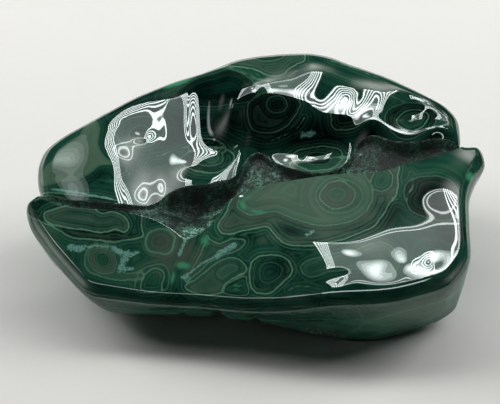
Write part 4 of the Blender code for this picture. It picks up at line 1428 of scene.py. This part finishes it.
class MALACHITE_OT_stage(bpy.types.Operator):
    """Lays the pale floor, hangs the lamps and sets the camera"""

    bl_idname = "malachite.stage"
    bl_label = "Set stage"

    def execute(self, context):
        settings = context.scene.stage_settings
        half = settings.floor_size / MM / 2
        material = floor_material(shared_group("mineral_grain", grain_group))
        lay_sheet("floor", -half, half, -half, half, 0.0, material)
        self.lay_card()
        self.hang_lamps(settings)
        self.open_windows(settings)
        self.light_room(context.scene)
        self.place_camera(context.scene, settings)
        return {"FINISHED"}

    def lay_card(self):
        """A black card on the floor in front, seen only in mirrors, so that the rim stays dark."""
        card = lay_sheet("dark_card", *DARK_CARD, card_material())
        card.visible_camera = False
        card.visible_diffuse = False
        card.visible_shadow = False

    def hang_lamps(self, settings):
        """A dim panel overhead with bright bars along each side and rails along each end, strips in
        front, and round glows whose middles are brightest, because each is a stack of widening
        discs. They are there to be mirrored: the windows light the stone."""
        x, y, z = LAMP_CENTRE
        span_x, span_y = LAMP_SPANS
        panels = [("lamp_middle", (x, y, z + 2 * PANEL_GAP), LAMP_SPANS, settings.veil_radiance)]
        rail_radiance = settings.bar_radiance * RAIL_SHARE
        for side in (-1, 1):
            for index in range(LAMP_BARS):
                place = (x + side * (span_x / 2 - (index + 0.5) * BAR_PITCH), y, z)
                panels.append(("lamp_bar", place, (BAR_WIDTH, span_y), settings.bar_radiance))
            for index in range(LAMP_RAILS):
                place = (x, y + side * (span_y / 2 - (index + 0.5) * RAIL_PITCH), z + PANEL_GAP)
                panels.append(("lamp_rail", place, (span_x, RAIL_WIDTH), rail_radiance))
        for place, spans, radiance in STRIPS:
            panels.append(("lamp_strip", place, spans, radiance * settings.strip_share))
        for centre, radius, share in HOT_SPOTS:
            for step in range(1, HOT_SPOT_STEPS + 1):
                width = 2 * radius * step / HOT_SPOT_STEPS
                place = (*centre[:2], centre[2] - step * PANEL_GAP)
                panels.append(("lamp_glow", place, (width, width), settings.glow_radiance * share))
        for name, place, spans, radiance in panels:
            panel = hang_panel(name, place, spans, radiance)
            if name == "lamp_glow":
                panel.data.shape = "ELLIPSE"
            panel.data.color = LAMP_COLOUR
            panel.visible_diffuse = False
            panel.visible_camera = False

    def open_windows(self, settings):
        """A wide soft window high behind the stone, a bright wall below it and a window on each
        side. They throw the shadow forward and aren't mirrored."""
        across, back, up = SIDE_DISTANCES
        openings = [
            ("window", WINDOW_CENTRE, WINDOW_SPANS, settings.window_radiance),
            ("bright_wall", WALL_CENTRE, WALL_SPANS, settings.wall_radiance),
            ("left_window", (-across, back, up), SIDE_SPANS, settings.side_radiance),
            ("right_window", (across, back, up), SIDE_SPANS, settings.side_radiance),
        ]
        for opening in openings:
            panel = hang_panel(*opening)
            panel.rotation_euler = (-panel.location).to_track_quat("-Z", "Y").to_euler()
            panel.visible_glossy = False

    def light_room(self, scene):
        """Soft light from the room: bright near the horizon behind the stone, dark above and in
        front, with a few glows that fall off as bells. Most of it shows only in mirrors."""
        world = bpy.data.worlds.new("room")
        scene.world = world
        world.use_nodes = True
        tree = world.node_tree
        way = tree.nodes.new("ShaderNodeTexCoord").outputs["Generated"]
        parts = tree.nodes.new("ShaderNodeSeparateXYZ")
        feed(parts.inputs["Vector"], way)
        share = times(faded(parts.outputs["Z"], *HORIZON_EDGE), eased(parts.outputs["Y"], *BEHIND_EDGE))
        for direction, radius, radiance in ROOM_GLOWS:
            away = tree.nodes.new("ShaderNodeVectorMath")
            away.operation = "DISTANCE"
            feed(away.inputs[0], way)
            away.inputs[1].default_value = Vector(direction).normalized()
            reach = reckon("DIVIDE", away.outputs["Value"], radius)
            bell = reckon("POWER", math.e, times(reckon("POWER", reach, 2.0), -1.0))
            share = plus(share, times(bell, radiance / ROOM_BRIGHT[1]))
        mirrored = tree.nodes.new("ShaderNodeLightPath").outputs["Is Glossy Ray"]
        share = times(share, reckon("MAXIMUM", mirrored, DIFFUSE_ROOM_SHARE))
        scaled = tree.nodes.new("ShaderNodeVectorMath")
        scaled.operation = "SCALE"
        scaled.inputs[0].default_value = ROOM_BRIGHT
        feed(scaled.inputs["Scale"], share)
        lit = tree.nodes.new("ShaderNodeVectorMath")
        feed(lit.inputs[0], scaled.outputs["Vector"])
        lit.inputs[1].default_value = ROOM_DARK
        background = tree.nodes["Background"]
        feed(background.inputs["Color"], lit.outputs["Vector"])
        background.inputs["Strength"].default_value = 1.0

    def place_camera(self, scene, settings):
        """The photograph's view: from the front and above, with the optical centre off the middle."""
        elevation = settings.camera_elevation
        away = Vector((0, -math.cos(elevation), math.sin(elevation)))
        data = bpy.data.cameras.new("photo_view")
        data.sensor_width = SENSOR_WIDTH
        data.lens = PIXELS_PER_MM * settings.camera_distance / MM / PHOTO_WIDTH * SENSOR_WIDTH
        data.shift_x = -(OPTICAL_CENTRE[0] - PHOTO_WIDTH / 2) / PHOTO_WIDTH
        data.shift_y = (OPTICAL_CENTRE[1] - PHOTO_HEIGHT / 2) / PHOTO_WIDTH
        data.clip_start = 10 * MM
        camera = bpy.data.objects.new("photo_view", data)
        target = Vector(np.asarray(CAMERA_TARGET) - BOX_CENTRE) * MM
        camera.location = target + away * settings.camera_distance
        camera.rotation_euler = (-away).to_track_quat("-Z", "Y").to_euler()
        scene.collection.objects.link(camera)
        scene.camera = camera
        scene.view_settings.view_transform = "Standard"


class MALACHITE_PT_panel(bpy.types.Panel):
    bl_label = "Malachite stone"
    bl_idname = "MALACHITE_PT_panel"
    bl_space_type = "VIEW_3D"
    bl_region_type = "UI"
    bl_category = "Malachite"

    def draw(self, context):
        for group in (context.scene.stone_shape, context.scene.stone_finish, context.scene.stage_settings):
            for name in group.__annotations__:
                self.layout.prop(group, name)
        self.layout.operator(MALACHITE_OT_stone.bl_idname)
        self.layout.operator(MALACHITE_OT_stage.bl_idname)


CLASSES = (StoneShape, StoneFinish, StageSettings, MALACHITE_OT_stone, MALACHITE_OT_stage, MALACHITE_PT_panel)


def register():
    for item in CLASSES:
        bpy.utils.register_class(item)
    bpy.types.Scene.stone_shape = PointerProperty(type=StoneShape)
    bpy.types.Scene.stone_finish = PointerProperty(type=StoneFinish)
    bpy.types.Scene.stage_settings = PointerProperty(type=StageSettings)


def unregister():
    del bpy.types.Scene.stage_settings
    del bpy.types.Scene.stone_finish
    del bpy.types.Scene.stone_shape
    for item in reversed(CLASSES):
        bpy.utils.unregister_class(item)


def main():
    register()
    bpy.ops.malachite.stone()
    bpy.ops.malachite.stage()


if __name__ == "__main__":
    main()
